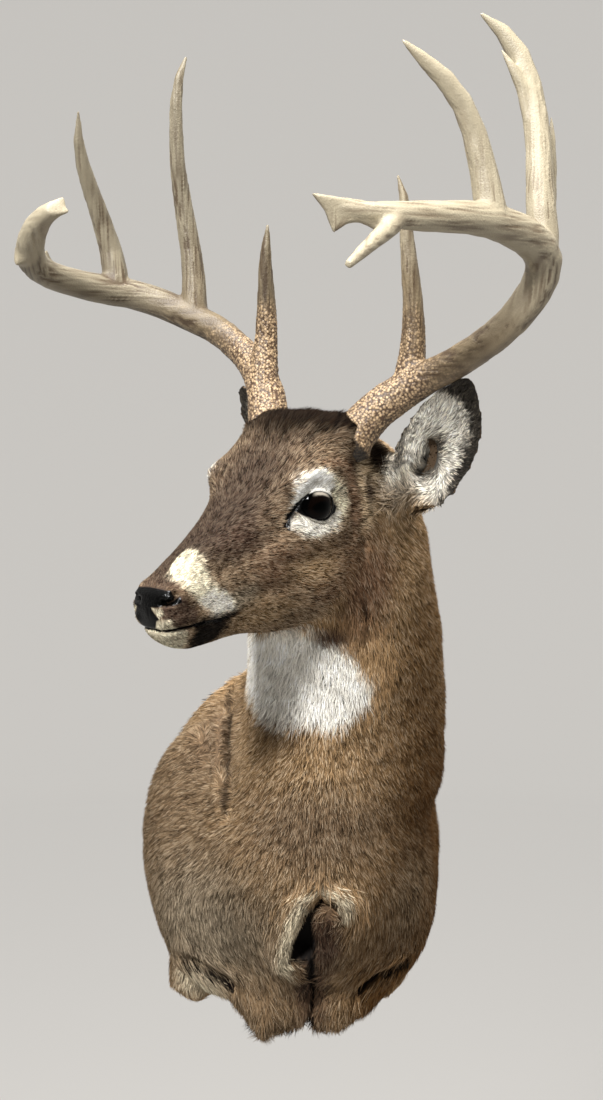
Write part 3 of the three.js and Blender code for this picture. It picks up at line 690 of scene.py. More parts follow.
# The fold between the forelegs, sideways and up.
FOLD_OUTLINE = [(21, 17), (11, 13), (3, 1), (-2, -14), (-8, -27), (-12, -40), (-13, -54), (1, -60),
                (15, -58), (20, -40), (19, -26), (15, -10), (17, 3), (24, 9), (33, 9), (39, -2), (42, -1),
                (38, 12), (30, 16)]
FOLD_DEPTH = 24.0
FRONT_FROM = -250 * MM  # the fold is cut only in what stands farther out from the wall


def fold_gap(world):
    """Millimetres outside the fold between the forelegs, on the front of the mount."""
    gap = outline_gap(side_view(world) / MM, FOLD_OUTLINE)
    return np.where(world[:, 1] < FRONT_FROM, gap, FAR_OFF)


def stroke_push(points, strokes, distance):
    """Millimetres in or out for all strokes, each fading with the distance from its line."""
    return sum(height * np.exp(-(distance(points, line) / radius) ** 2) for line, radius, height in strokes)


LID_INNER = EYE_RADIUS + 0.5  # the lids' radius over the glass
LID_TUCKED = EYE_RADIUS - 4.0  # the skin's radius behind the glass
LID_ROLL = 1.1  # how far the lid's margin swells


def lay_lids(points):
    """Draws the skin over each eye: lids proud of the glass, tucked in behind it at the opening."""
    head = to_head(points)
    for side in (1, -1):
        across, _, distance = eye_angles(head, side)
        gap = lid_gaps(head, side)[1]
        roll = LID_ROLL * np.exp(-((gap - 1.4) / 1.3) ** 2)
        corner = ramp(np.abs(across + 1), 34, 84)
        lid = mix(LID_INNER + roll, np.maximum(distance, LID_INNER) - 0.6, corner)
        target = np.where(gap < 0, mix(LID_TUCKED, lid, ramp(gap, -1.3, 0.0)), lid)
        keep = ramp(gap, 2.5, 14)
        near = (gap < 20) & (distance < 44) & (np.abs(across) < 112)
        radius = np.where(near, mix(target, distance, keep), distance)
        centre = EYE_CENTRE * (1, side, 1)
        head = centre + unit(head - centre) * radius[:, None]
    return from_head(head)


EAR_COAT_DEPTH = 1.0 * MM
FACET_ROUNDS = 26  # of evening out, which takes the nodes' facets away
BODY_FACES_KEPT = 0.5
SHADED_SKIN = 0.6  # brightness of the skin under the coat


def coat_depth(world, ears):
    """From the skin to the tips, in metres."""
    settings = bpy.context.scene.deer_hide
    depth = mix(settings.body_depth, settings.face_depth, head_weight(world))
    return mix(depth, EAR_COAT_DEPTH, ears)


class DEERMOUNT_OT_hide(bpy.types.Operator):
    """One hide over trunk, neck, head and ears, with lids, lips, nostrils and folds"""

    bl_idname = "deermount.hide"
    bl_label = "Hide"

    def execute(self, context):
        hide = joined_copy(FLESH + ["eye_left", "eye_right"], "hide", JOIN_SWELL)
        apply_modifier(hide, "REMESH", mode="VOXEL", voxel_size=context.scene.deer_hide.voxel)
        drop_crumbs(hide)
        self.even_out(hide)
        self.refine_face(hide)
        self.sculpt(hide)
        self.thin_body(hide)
        self.map_and_mark(hide)
        finish_piece(hide, hide_material(), "body_hide", *FLESH)
        made["skin"] = Skin(hide)
        return {"FINISHED"}

    def even_out(self, hide):
        """Takes the facets out, then sinks the skin below the coat's tips."""
        points, edges = positions(hide), edges_of(hide)
        ears = ear_weight(points)
        body = (1 - head_weight(points)) * (1 - ears)
        points = spread(points, edges, FACET_ROUNDS, 0.12 + 0.4 * body)
        set_positions(hide, points)
        lift = spread(normals_of(hide), edges, 4)
        points -= unit(lift) * spread(coat_depth(points, ears), edges, 6)[:, None]
        set_positions(hide, points)

    def refine_face(self, hide):
        """Finer faces round the eyes, the mouth and the nose."""
        eye_middle, eye_reach, eye_soft = (8, 54, 3), 36, 40
        nose_tip, nose_reach, nose_soft = 168, 42, 112
        for share in (1.0, 0.62):
            head = mirrored(to_head(positions(hide)))
            eye = np.linalg.norm(head - eye_middle, axis=1) < eye_reach * share
            nose = head[:, 0] > nose_tip - nose_reach * share
            refine(hide, eye | nose)
            points = positions(hide)
            head = mirrored(to_head(points))
            soft = (np.linalg.norm(head - eye_middle, axis=1) < eye_soft) | (head[:, 0] > nose_soft)
            set_positions(hide, spread(points, edges_of(hide), 3, 0.5 * soft))

    def sculpt(self, hide):
        """Carves and raises every mark, cups the ears and lays the lids."""
        points = positions(hide)
        normals = spread(normals_of(hide), edges_of(hide), 2)
        folded = mirrored(to_head(points))
        on_head = ramp(head_weight(points), 0, 0.3)
        push = stroke_push(folded, HEAD_STROKES, line_distance) * on_head
        push += stroke_push(folded, SIDE_STROKES, seen_distance) * on_head
        push += stroke_push(points / MM, BODY_STROKES, seen_distance)
        push -= FOLD_DEPTH * (1 - ramp(fold_gap(points), -4, 1.5))
        push = np.maximum(push, -FOLD_DEPTH)
        push += ear_push(points, normals)
        points += unit(normals) * push[:, None] * MM + ear_spread(points)
        set_positions(hide, lay_lids(points))

    def thin_body(self, hide):
        """Fewer faces where the coat hides the skin."""
        points = positions(hide)
        weight = (1 - head_weight(points)) * (1 - ear_weight(points))
        group = hide.vertex_groups.new(name="body")
        steps = 10
        levels = np.round(weight * steps).astype(int)
        for level in range(1, steps + 1):
            group.add(np.nonzero(levels == level)[0].tolist(), level / steps, "REPLACE")
        apply_modifier(hide, "DECIMATE", ratio=BODY_FACES_KEPT, vertex_group=group.name)
        hide.vertex_groups.clear()

    def map_and_mark(self, hide):
        """Unwraps the hide and colours it, darker where the coat shades it."""
        hide.data.uv_layers.new(name="OFBake")
        with editing(hide):
            bpy.ops.uv.smart_project(angle_limit=math.radians(70), island_margin=0.001)
        colours, bare = markings_and_painted_light(positions(hide), normals_of(hide))
        paint(hide, "Markings", colours * mix(SHADED_SKIN, 1.0, bare)[:, None])
        measure(hide, "Bare", bare)


# ---------------------------------------------------------------- ears
EAR_ROOT, EAR_TIP = np.array((-112.0, 52.0, -28.0)), np.array((-115.0, 144.0, 97.0))
EAR_LENGTH = np.linalg.norm(EAR_TIP - EAR_ROOT)
EAR_AXIS = (EAR_TIP - EAR_ROOT) / EAR_LENGTH
EAR_FACING = unit(np.array((0.8, 0.5, 0.12)))
EAR_ACROSS = unit(np.cross(EAR_AXIS, EAR_FACING))
RIGHT_EAR_DROOP = np.array((-10.0, -12.0, -18.0))
EAR_CANAL = [(74, 2), (68, 6), (60, 9), (50, 11), (42, 9)]  # along and across the ear
EAR_OUTER = [(14, 46), (60, 47), (94, 43), (112, 39), (128, 32), (138, 22), (148, 9), (153, -6)]
EAR_FRONT = [(153, -6), (148, -20), (137, -27), (110, -30), (82, -27), (60, -22), (45, -14)]


def ear_points(world):
    """Head points folded to the left side, with the right ear's droop taken out."""
    head = to_head(world)
    folded = mirrored(head)
    t = np.clip((folded - EAR_ROOT) @ EAR_AXIS / EAR_LENGTH, 0, 1)
    return folded - np.where(head[:, 1] < 0, t ** 1.3, 0)[:, None] * RIGHT_EAR_DROOP


def ear_place(world):
    """Millimetres along and across the ear."""
    offset = ear_points(world) - EAR_ROOT
    return np.stack((offset @ EAR_AXIS, offset @ EAR_ACROSS), axis=1)


def sided(vectors, world):
    """Vectors meant for the left side, turned over for points on the right of the head."""
    return vectors * np.where(to_head(world)[:, 1:2] < 0, (1, -1, 1), (1, 1, 1))


def ear_inner(world, normals):
    """1 on the hollow side of the ears and 0 on their backs."""
    facing = np.sum((normals @ AXES.T) * sided(EAR_FACING, world), axis=1)
    canal = line_distance(ear_place(world), EAR_CANAL)
    return ramp(facing + 0.6 * np.exp(-(canal / 9) ** 4), -0.2, 0.25)


def ear_weight(world):
    """1 on the ears, 0 on the head below them."""
    folded = ear_points(world)
    along = (folded - EAR_ROOT) @ EAR_AXIS
    near = line_distance(folded, [EAR_ROOT, (-122, 97, 24), EAR_TIP]) < 44
    return near * ramp(along, 12, 34) * ramp(folded[:, 1], 56, 70)


def ear_spread(world):
    """Metres to move the thin edges of the ears outwards, where smoothing has drawn them in."""
    place = ear_place(world)
    sideways = np.sign(place[:, 1] - 6) * ramp(np.abs(place[:, 1] - 6), 10, 30) * 3.5
    onward = 2.0 * ramp(place[:, 0], 110, 150)
    shift = sideways[:, None] * EAR_ACROSS + onward[:, None] * EAR_AXIS
    return sided(shift, world) @ AXES * ear_weight(world)[:, None] * MM


def ear_push(world, normals):
    """Deepens the cup round the canal."""
    inner = ear_inner(world, normals) * ear_weight(world)
    canal = line_distance(ear_place(world), EAR_CANAL)
    return -inner * (3.0 * np.exp(-(canal / 14) ** 2) + 8.0 * np.exp(-(canal / 6) ** 2))


# ---------------------------------------------------------------- markings, painted shade and painted highlight
def front_view(head):
    return head[:, (1, 2)]


def wrapped_view(head):
    """Forward, and round the muzzle from its top."""
    return np.stack((head[:, 0], 27 * np.arctan2(head[:, 1], head[:, 2] + 48)), axis=1)


# Soft balls of colour on the head, folded to the left: colour, centre, radii, and softness of the edge.
HEAD_BALLS = [
    ("bridge", (96, 0, 0), (64, 40, 34), 0.5),
    ("cheek", (40, 44, -44), (34, 22, 22), 0.6),
    ("cheek", (-20, 58, -64), (34, 22, 30), 0.6),
    ("bridge", (20, 0, 30), (60, 46, 40), 0.9),
    ("umber", (160, 6, -16), (22, 30, 24), 0.6),
    ("silver", (86, 33, -62), (15, 14, 11), 0.7),
    ("crown", (-84, 60, 24), (26, 24, 24), 0.5),
    ("tan", (-58, 60, -6), (12, 14, 30), 0.8),
    ("cheek", (-43, 60, -4), (7, 12, 40), 0.5),
    ("crown", (-46, 60, 6), (5, 12, 22), 0.7),
    ("bridge", (-62, 58, 0), (7, 12, 16), 0.7),
    ("cream", (-112, 66, -44), (24, 24, 24), 0.6),
    ("grey", (-104, 76, -26), (13, 16, 26), 0.6),
    ("neck", (12, 54, -52), (28, 20, 16), 0.9),
    ("umber", (80, 29, -8), (22, 16, 16), 0.8),
    ("neck", (64, 30, -84), (30, 18, 16), 0.9),
    ("cheek", (-59, 62, -66), (20, 16, 30), 0.7),
    ("bridge", (-44, 59, 26), (10, 10, 12), 0.8),
    ("bridge", (66, 10, 14), (34, 18, 16), 0.8),
    ("bridge", (140, 0, -18), (20, 22, 20), 0.8),
    ("crown", (-62, 10, 80), (66, 70, 36), 0.35),
]
# Marks with an outline: colour, view, outline and softness of the edge in millimetres.
HEAD_MARKS = [
    ("cheek", side_view, [(-8, 40), (-24, 34), (-38, 22), (-42, 4), (-38, -14), (-46, -18), (-50, 6),
                          (-46, 28), (-30, 42)], 4.0),
    ("cream", side_view, [(0, 34), (-14, 30), (-26, 21), (-34, 9), (-35, -3), (-29, -12), (-16, -12),
                          (-4, 10)], 4.0),
    ("white", side_view, [(29, 6), (27, 20), (24, 28), (17, 34), (7, 36), (-5, 34), (-12, 27), (-14, 16),
                          (-4, 6), (20, 4)], 3.2),
    ("grey", side_view, [(24, 2), (31, 0), (35, -8), (31, -16), (16, -21), (0, -22), (-14, -19), (-23, -13),
                          (-25, -7), (-14, -4), (8, -4)], 3.6),
    ("dark", side_view, [(22, 11), (28, 7), (32, 4), (37, 0), (41, -6), (40.5, -11), (36.5, -11),
                         (34, -4), (30, -2), (25, 0)], 1.2),
    ("cream", wrapped_view, [(134.6, -3.5), (149.6, 5.9), (153.3, 16.4), (150.8, 22.8), (149.2, 30.6),
                             (145.7, 37.4), (137, 45), (126, 54), (119, 60), (107, 61.5), (95, 60),
                             (91, 56), (101, 49), (112, 40.7), (117.9, 31.2), (119.7, 23.2), (119.6, 16.1),
                             (117.3, 7.9), (122, -2)], 4.0),
    ("grey", wrapped_view, [(137, 45), (126, 54), (119, 60), (107, 61), (96, 59), (102, 50), (112, 42),
                            (126, 38)],
     4.0),
    ("umber", wrapped_view, [(175, 42), (168, 39), (158, 33), (150, 40), (142, 51), (139.6, 58.3),
                             (148.7, 61), (165, 62.5), (170, 56)], 4.0),
    ("cream", front_view, [(3, -48), (12.5, -48), (15, -52), (9.5, -55.5)], 1.2),
    ("cream", front_view, [(10.5, -57.5), (20.5, -57.5), (18.5, -68.5), (5, -70), (6, -63)], 1.4),
    ("cream", wrapped_view, [(175, 72), (164, 65), (152, 64), (147, 72), (142, 90), (180, 90)], 2.5),
    ("dark", wrapped_view, [(146, 61), (122, 61), (100, 60), (90, 61), (98, 64), (104, 69), (108, 75),
                            (118, 82), (136, 83), (143, 75), (143, 66)], 4.0),
]
# The black pad, across and up, and how far back its top reaches at the middle and at the wings.
PAD_OUTLINE = [(-30, -20), (30, -20), (28.5, -40), (26, -45), (21, -46.5), (15, -46.5), (3.5, -48),
               (8, -55), (11.5, -57), (7, -60), (4.5, -66), (4, -71), (-9, -71), (-13, -66), (-17, -60),
               (-20, -57), (-18, -54.5), (-15, -49), (-20, -47), (-23, -46.5), (-26, -45), (-28.5, -40)]
FAR_LIP_SHIFT = 9.0
# Soft balls of colour on the body in world millimetres. The shade balls are painted shade on the deer's
# left side, away from the key light; the umber balls in the fold's knot and along the seam are painted
# shade too.
BODY_BALLS = [
    ("shoulder", (-120, -150, 20), (110, 200, 190), 0.5),
    ("shoulder", (-40, -300, -60), (120, 120, 110), 0.5),
    ("shade", (130, -200, 60), (74, 170, 230), 0.7),
    ("shade", (112, -260, 330), (34, 90, 130), 0.7),
    ("face", (-88, -160, 160), (24, 90, 50), 0.7),
    ("silver", (-96, -270, -30), (70, 90, 60), 0.8),
    ("face", (10, -372, 90), (86, 70, 42), 0.7),
    ("shoulder", (-32, -285, -108), (46, 70, 34), 0.7),
    ("cream", (-114, -220, -124), (28, 80, 34), 0.5),
    # painted shade in the knot of the fold and down the seam between the forelegs
    ("umber", (27, -350, -28), (21, 44, 40), 0.6),
    ("umber", (16, -300, -100), (18, 70, 62), 0.8),
    # painted shade in the gap under the hem
    ("shade", (96, -230, -128), (40, 70, 26), 0.5),
    ("shoulder", (119, -294, -3), (30, 70, 56), 1.0),
    ("cheek", (62, -410, 345), (30, 34, 50), 0.7),
]
JAW_SHADOW = ((28, -414, 298), (17, 24, 9))  # brown under the jaw, at the top of the white throat


def softly(gap, points, soft, seed):
    """1 where the gap is negative and 0 where it is positive, with a hairy edge."""
    wobble = 0.6 * soft * noise(points, 6, seed) + 0.6 * soft * noise(points, 2.2, seed + 5)
    wobble += 0.5 * soft * noise(points, 0.9, seed + 9)
    return 1 - ramp(gap + wobble, -soft, soft)


def ball(points, centre, radii, soft, seed):
    """1 inside the ball and 0 outside, with an uneven edge."""
    reach = np.linalg.norm((points - centre) / radii, axis=1)
    reach += 0.14 * noise(points, 9, seed) + 0.08 * noise(points, 4, seed + 5)
    return 1 - ramp(reach, 1 - soft, 1 + soft)


def markings_and_painted_light(world, normals):
    """Linear colour of the coat at each point of the hide with its painted shade and highlight, and 1 where
    the skin is bare.
    """
    palette = palette_of(bpy.context.scene.deer_hide)
    millimetres = world / MM
    head = to_head(world)
    folded = mirrored(head)
    on_head = head_weight(world)[:, None]
    colours = np.tile(palette["neck"], (len(world), 1))
    for k, (name, centre, radii, soft) in enumerate(BODY_BALLS):
        colours = tint(colours, palette[name], ball(millimetres, centre, radii, soft, 20 + k))
    throat = softly(outline_gap(side_view(millimetres), THROAT_OUTLINE), millimetres, 8, 35)
    throat *= ramp(-world[:, 1], 240 * MM, 300 * MM)
    colours = tint(colours, palette["white"], throat)
    spot = 0.45 * ball(millimetres, *THROAT_SPOT, 0.7, 36)
    # The spot under the jaw is painted shadow; the throat's spot is brown hair.
    spot = np.maximum(spot, ball(millimetres, *JAW_SHADOW, 0.6, 37))
    colours = tint(colours, palette["umber"], spot)
    # Painted shade along the crease between the neck and the right shoulder.
    crease = 0.8 * softly(seen_distance(millimetres, NECK_CREASE) - 3.5, millimetres, 3, 32)
    colours = tint(colours, palette["crown"], crease)
    # Painted highlight along the raised rim of the fold between the forelegs.
    rim = 0.8 * softly(seen_distance(millimetres, FOLD_RIM) - 6, millimetres, 4, 33)
    colours = tint(colours, palette["cream"], rim)
    # Painted shade: near black in the fold between the forelegs, along its seam, in the jaw's crease and in
    # the gaps under the hems.
    hollow = np.minimum(fold_gap(world) + 0.5, dark_lines(millimetres))
    colours = tint(colours, palette["dark"], softly(hollow, millimetres, 2, 34))
    colours = mix(colours, face_markings(head, folded, palette), on_head)
    colours = ear_markings(world, normals, colours, palette)
    bare = bare_skin(head, folded) * on_head[:, 0]
    return tint(colours, palette["bare"], bare), bare


def face_markings(head, folded, palette):
    """The head's balls of colour, and then its outlined marks."""
    face = np.tile(palette["face"], (len(head), 1))
    for k, (name, centre, radii, soft) in enumerate(HEAD_BALLS):
        face = tint(face, palette[name], ball(folded, centre, radii, soft, 60 + k))
    for k, (name, view, outline, soft) in enumerate(HEAD_MARKS):
        gap = outline_gap(view(head if view is wrapped_view else folded), outline)
        if view is side_view:
            gap = np.maximum(gap, 45 - folded[:, 1])
        if view is wrapped_view:
            turned = wrapped_view(folded)
            gap = np.where(head[:, 1] < 0, np.maximum(outline_gap(turned, outline), 22 - turned[:, 1]), gap)
        if view is front_view:
            shifted = front_view(folded) - (FAR_LIP_SHIFT, 0)
            gap = np.where(head[:, 1] < 0, outline_gap(shifted, outline), gap)
            gap = np.maximum(gap, 160 - folded[:, 0])
        face = tint(face, palette[name], softly(gap, folded, soft, 80 + k))
    return face


def dark_lines(millimetres):
    """Millimetres outside the seams, creases and gaps below the hems of the body."""
    return np.minimum.reduce([seen_distance(millimetres, line) - width for line, width in DARK_LINES])


def bare_skin(head, folded):
    """Nose pad, lid margins and lips."""
    top = mix(162.0, 156.5, ramp(folded[:, 1], 14, 25)) - folded[:, 0]
    pad = np.maximum(outline_gap(front_view(head), PAD_OUTLINE), top) + 0.5 * noise(head, 4, 3)
    nose = 1 - ramp(pad, -0.6, 0.8)
    lids = 1 - ramp(eye_gap(head), -0.5, 0.5)
    duct = 1 - ramp(seen_distance(folded, TEAR_DUCT), 2.8, 4.0)
    mouth = 1 - ramp(seen_distance(folded, MOUTH), 0.8, 2.2)
    return np.maximum.reduce([nose, lids, duct, mouth])


def ear_markings(world, normals, colours, palette):
    place = ear_place(world)
    inner = ear_inner(world, normals)
    ragged = 2.2 * noise(world / MM, 6, 9) + 1.6 * noise(world / MM, 2.2, 12)
    outer = 1 - ramp(line_distance(place, EAR_OUTER) + 1.5 * ragged, 11, 19)
    front = 0.8 * (1 - ramp(line_distance(place, EAR_FRONT) + ragged, 2, 6))
    tip = ramp(place[:, 0] + 1.3 * ragged, 124, 134)
    rim = np.maximum.reduce([outer * ramp(place[:, 0], 6, 34), front, tip])
    # Painted shade down the ear's opening.
    canal = 1 - ramp(line_distance(place, EAR_CANAL) + 0.8 * ragged, 3.5, 10)
    pale = tint(palette["silver"], palette["grey"], ramp(place[:, 0] + 2 * ragged, 16, 44))
    inside = tint(pale, palette["dark"], np.maximum(0.95 * rim, 0.9 * canal))
    outside = np.tile(mix(palette["face"], palette["dark"], 0.45), (len(world), 1))
    return tint(colours, tint(outside, inside, inner), ear_weight(world))


# ---------------------------------------------------------------- the lie of the coat
BODY_LIE = np.array((0.0, 0.42, -0.9))  # back to the wall and down


def coat_lie(world, normals):
    """Direction along the surface in which the hair points."""
    head = to_head(world)
    side = np.where(head[:, 1] < 0, -1.0, 1.0)
    face = np.stack((np.full(len(head), -1.0), 0.12 * side, np.full(len(head), -0.22)), axis=1)
    for eye_side in (1, -1):
        offset = head - (2, 52 * eye_side, 4)
        pull = 1.5 * np.exp(-(np.linalg.norm(offset, axis=1) / 26) ** 4)
        face += unit(offset) * pull[:, None]
    face = face @ AXES
    flow = tint(np.tile(BODY_LIE, (len(world), 1)), unit(face), head_weight(world))
    flow += brisket_lie(world)
    flow = tint(flow, ear_lie(world), ear_weight(world))
    flow += 0.16 * noise_vectors(world, 26 * MM, 31) + 0.10 * noise_vectors(world, 9 * MM, 41)
    return flat_on(flow, normals)


def brisket_lie(world):
    """Hair of the chest sweeps in to the middle, runs down along the fold's rim and curls in its knot."""
    offset = np.array((6, -350, -20)) * MM - world
    low = ramp(-world[:, 2], -30 * MM, 40 * MM) * ramp(-world[:, 1], 120 * MM, 230 * MM)
    low *= 1 - ramp(-world[:, 2], 90 * MM, 130 * MM)
    sweep = np.stack((np.sign(offset[:, 0]), np.zeros(len(world)), np.zeros(len(world))), axis=1)
    inward = 1.0 * low * ramp(np.abs(offset[:, 0]), 20 * MM, 60 * MM)
    step = 0.5 * MM
    gap = fold_gap(world)
    right_way = fold_gap(world + (step, 0, 0)) - gap
    up_way = fold_gap(world + (0, 0, step)) - gap
    turn = np.where(right_way < 0, 1.0, -1.0)
    beside = np.stack((-up_way * turn, np.zeros(len(world)), right_way * turn), axis=1)
    beside *= np.where(beside[:, 2:] > 0, -1, 1)
    edge = 3.0 * np.exp(-(gap / 15) ** 2)
    knot = world - np.array((30, -360, -4)) * MM
    around = np.stack((knot[:, 2], np.zeros(len(world)), -knot[:, 0]), axis=1)
    curl = 3.0 * np.exp(-(np.linalg.norm(knot, axis=1) / (13 * MM)) ** 2)
    return sweep * inward[:, None] + unit(beside) * edge[:, None] + unit(around) * curl[:, None]


def ear_lie(world):
    """Along the ear to its tip, whirling out from the canal inside it."""
    place = ear_place(world)
    offset = place - (58, 9)
    away = unit(offset)
    whirl = np.stack((-away[:, 1], away[:, 0]), axis=1)
    near = np.exp(-(np.linalg.norm(offset, axis=1) / 34) ** 2)[:, None]
    flat = np.array((0.8, 0.0)) + 0.7 * away + 1.3 * near * whirl
    direction = flat[:, :1] * EAR_AXIS + flat[:, 1:] * EAR_ACROSS
    return sided(direction, world) @ AXES


# ---------------------------------------------------------------- tufts
class Roots:
    """Where tufts grow: places on the hide, with their normals and bake places."""

    def __init__(self, skin, weight, count, seed):
        rng = np.random.default_rng(seed)
        mesh = skin.obj.data
        mesh.calc_loop_triangles()
        corners = read(mesh.loop_triangles, "vertices", 3, np.int32)
        loops = read(mesh.loop_triangles, "loops", 3, np.int32)
        uv = read(mesh.uv_layers["OFBake"].data, "uv", 2)
        triangle = skin.points[corners]
        sides = triangle[:, 1:] - triangle[:, :1]
        area = np.linalg.norm(np.cross(sides[:, 0], sides[:, 1]), axis=1)
        chance = area * weight[corners].mean(axis=1)
        pick = rng.choice(len(corners), count, p=chance / chance.sum())
        share = rng.random((count, 2))
        share = np.where(share.sum(axis=1, keepdims=True) > 1, 1 - share, share)
        share = np.column_stack((1 - share.sum(axis=1), share))
        self.rng = rng
        self.places = np.einsum("ij,ijk->ik", share, triangle[pick])
        self.normals = unit(np.einsum("ij,ijk->ik", share, skin.normals[corners[pick]]))
        self.uv = np.einsum("ij,ijk->ik", share, uv[loops[pick]])


def snapped(skin, points, normals, lifts):
    """Points brought to the given height over the skin."""
    result = np.empty_like(points)
    for k, (point, lift) in enumerate(zip(points, lifts)):
        place, normal, _, _ = skin.tree.find_nearest(Vector(point))
        result[k] = place + normal * lift
    return result


# A bent tuft has a root point, a three-cornered waist and a tip. A straight one has a three-cornered root
# and a tip.
BENT_FACES = np.array(((0, 2, 1), (0, 3, 2), (0, 1, 3), (1, 2, 4), (2, 3, 4), (3, 1, 4)))
STRAIGHT_FACES = np.array(((0, 2, 1), (0, 1, 3), (1, 2, 3), (0, 3, 2)))
BENT_PATCH = np.array(((0, 0), (-0.5, 0.4), (0.5, 0.4), (0, 0.6), (0, 1)))
STRAIGHT_PATCH = np.array(((-0.5, 0), (0.5, 0), (0, 0.3), (0, 1)))
WAIST = 0.42  # where a bent tuft bends, as a share of its length
STRAW = np.array((1.2, 1.0, 0.72))  # what pale tips are bleached to
BAKE_PATCH = 0.003  # a tuft's size in the bake map
# Painted shade and highlight of each corner below the tip, darker at the root and lighter on the ridge, and
# which share of the tips is dark or pale, and how much so.
BENT_PAINTED_SHADING, STRAIGHT_PAINTED_SHADING = (0.45, 0.9, 0.9, 1.08), (0.5, 0.5, 1.1)
DARK_TIPS_BELOW, DARK_TIP = 0.42, 0.34
PALE_TIPS_ABOVE, PALE_TIP = 0.72, 1.9
BOARD_LINE_Y = -0.5 * MM  # no hair goes behind this
ROOT_DEPTH = 0.4  # millimetres that a tuft starts inside the skin
TURN_SPREAD = math.radians(9)  # how unevenly tufts point
# The least and the most of each tuft's length, height over the skin and width, as shares of what is asked.
LENGTH_SHARES, LIFT_SHARES, WIDTH_SHARES = (0.7, 1.25), (0.5, 1.3), (0.7, 1.3)


def ticked_colours(colours, shades):
    """Colour of each corner of each tuft: dark ones as they are, light ones bleached to straw."""
    shaded = colours[:, None, :] * shades[:, :, None]
    light = ramp(shades, 1.1, 2.0)[:, :, None]
    straw = shaded.mean(axis=2, keepdims=True) * STRAW + 0.012 * STRAW
    return np.clip(mix(shaded, straw, 0.7 * light), 0, 1).reshape(-1, 3)


def tuft_mesh(name, roots, pick, tufts):
    """Joins tufts into one mesh with their colours, bake map and soft normals."""
    base, tip, side, rise = (tufts[key][pick] for key in ("base", "tip", "side", "rise"))
    normals, across = tufts["normals"][pick], unit(side)
    left_normal, right_normal = unit(normals - 0.7 * across), unit(normals + 0.7 * across)
    if "waist" in tufts:
        waist = tufts["waist"][pick]
        points = np.stack((base, waist - side, waist + side, waist + rise, tip), axis=1)
        soft = np.stack((normals, left_normal, right_normal, normals, normals), axis=1)
        shape, corner = BENT_FACES, BENT_PATCH
    else:
        points = np.stack((base - side, base + side, base + rise, tip), axis=1)
        soft = np.stack((left_normal, right_normal, normals, normals), axis=1)
        shape, corner = STRAIGHT_FACES, STRAIGHT_PATCH
    faces = (np.arange(len(base))[:, None, None] * points.shape[1] + shape).reshape(-1, 3)
    points = points.reshape(-1, 3)
    mesh = bpy.data.meshes.new(name)
    mesh.vertices.add(len(points))
    write(mesh.vertices, "co", points)
    mesh.loops.add(faces.size)
    write(mesh.loops, "vertex_index", faces, np.int32)
    mesh.polygons.add(len(faces))
    write(mesh.polygons, "loop_start", np.arange(0, faces.size, 3), np.int32)
    mesh.update(calc_edges=True)
    obj = bpy.data.objects.new(name, mesh)
    bpy.context.scene.collection.objects.link(obj)
    paint(obj, "Markings", ticked_colours(tufts["colours"][pick], tufts["shades"][pick]))
    uv = (roots.uv[pick][:, None, :] + corner * BAKE_PATCH).reshape(-1, 2)
    write(mesh.uv_layers.new(name="OFBake").data, "uv", uv[faces.ravel()])
    write(mesh.polygons, "use_smooth", np.ones(len(faces)), bool)
    mesh.normals_split_custom_set_from_vertices(soft.reshape(-1, 3).astype(np.float32))
    finish_piece(obj, made["coat_material"], "body_hide")


def ripple(places):
    """Uneven bands across the lie of the coat, where light and dark tips lie in rows."""
    drifting = places + 3 * MM * noise_vectors(places, 22 * MM, 91)
    return noise(drifting * (1, 1, 3.0), 9 * MM, 92)


def grow_tufts(skin, roots, length, width, low, high, colours, contrast, bent):
    """Works out every tuft. Length, width, and the waist's and tip's heights may be one number for each."""
    grain = max(2.4 * np.median(width), 2.7 * MM)
    rng = roots.rng
    count = len(roots.places)
    flow = coat_lie(roots.places, roots.normals)
    across = np.cross(roots.normals, flow)
    turn = rng.normal(0, TURN_SPREAD, count)
    flow = flow * np.cos(turn)[:, None] + across * np.sin(turn)[:, None]
    across = np.cross(roots.normals, flow)
    length = length * rng.uniform(*LENGTH_SHARES, count)
    lift = rng.uniform(*LIFT_SHARES, count) * (1 + 0.35 * noise(roots.places, 14 * MM, 77))
    half = width * rng.uniform(*WIDTH_SHARES, count) / 2
    tufts = {
        "base": roots.places - roots.normals * ROOT_DEPTH * MM,
        "side": across * half[:, None],
        "rise": roots.normals * (half * 0.9)[:, None],
        "normals": roots.normals,
        "colours": colours,
    }
    start, share = roots.places, 1.0
    if bent:
        start = snapped(skin, roots.places + flow * (length * WAIST)[:, None], roots.normals, low * lift)
        share = 1 - WAIST
        tufts["waist"] = start
    onward = flow + across * rng.normal(0, 0.12, count)[:, None]
    hanging = start + onward * (length * share)[:, None]
    laid = snapped(skin, hanging, roots.normals, high * lift)
    tufts["tip"] = tint(laid, hanging, loose(roots.places))
    for key in ("waist", "tip"):
        if key in tufts:
            tufts[key][:, 1] = np.minimum(tufts[key][:, 1], BOARD_LINE_Y)
    rows = 0.2 * noise(roots.places, 2.1 * grain, 86) + 0.3 * ripple(roots.places)
    tone = 1 + contrast * (rng.normal(0, 0.32, count) + 0.42 * noise(roots.places, grain, 85))
    tone += rows / np.maximum(contrast, 1)
    tone += 0.12 * noise(roots.places, 18 * MM, 88)
    ticked = rng.random(count)
    tips = np.where(ticked > PALE_TIPS_ABOVE, PALE_TIP, 1.0)
    tips = np.where(ticked < DARK_TIPS_BELOW, DARK_TIP, tips)
    tips = mix(1.0, tips, np.clip(contrast, 0, 1))
    shares = (*(BENT_PAINTED_SHADING if bent else STRAIGHT_PAINTED_SHADING), tips)
    tufts["shades"] = np.clip(np.stack([share * tone for share in shares], axis=1), 0.1, 2.2)
    return tufts


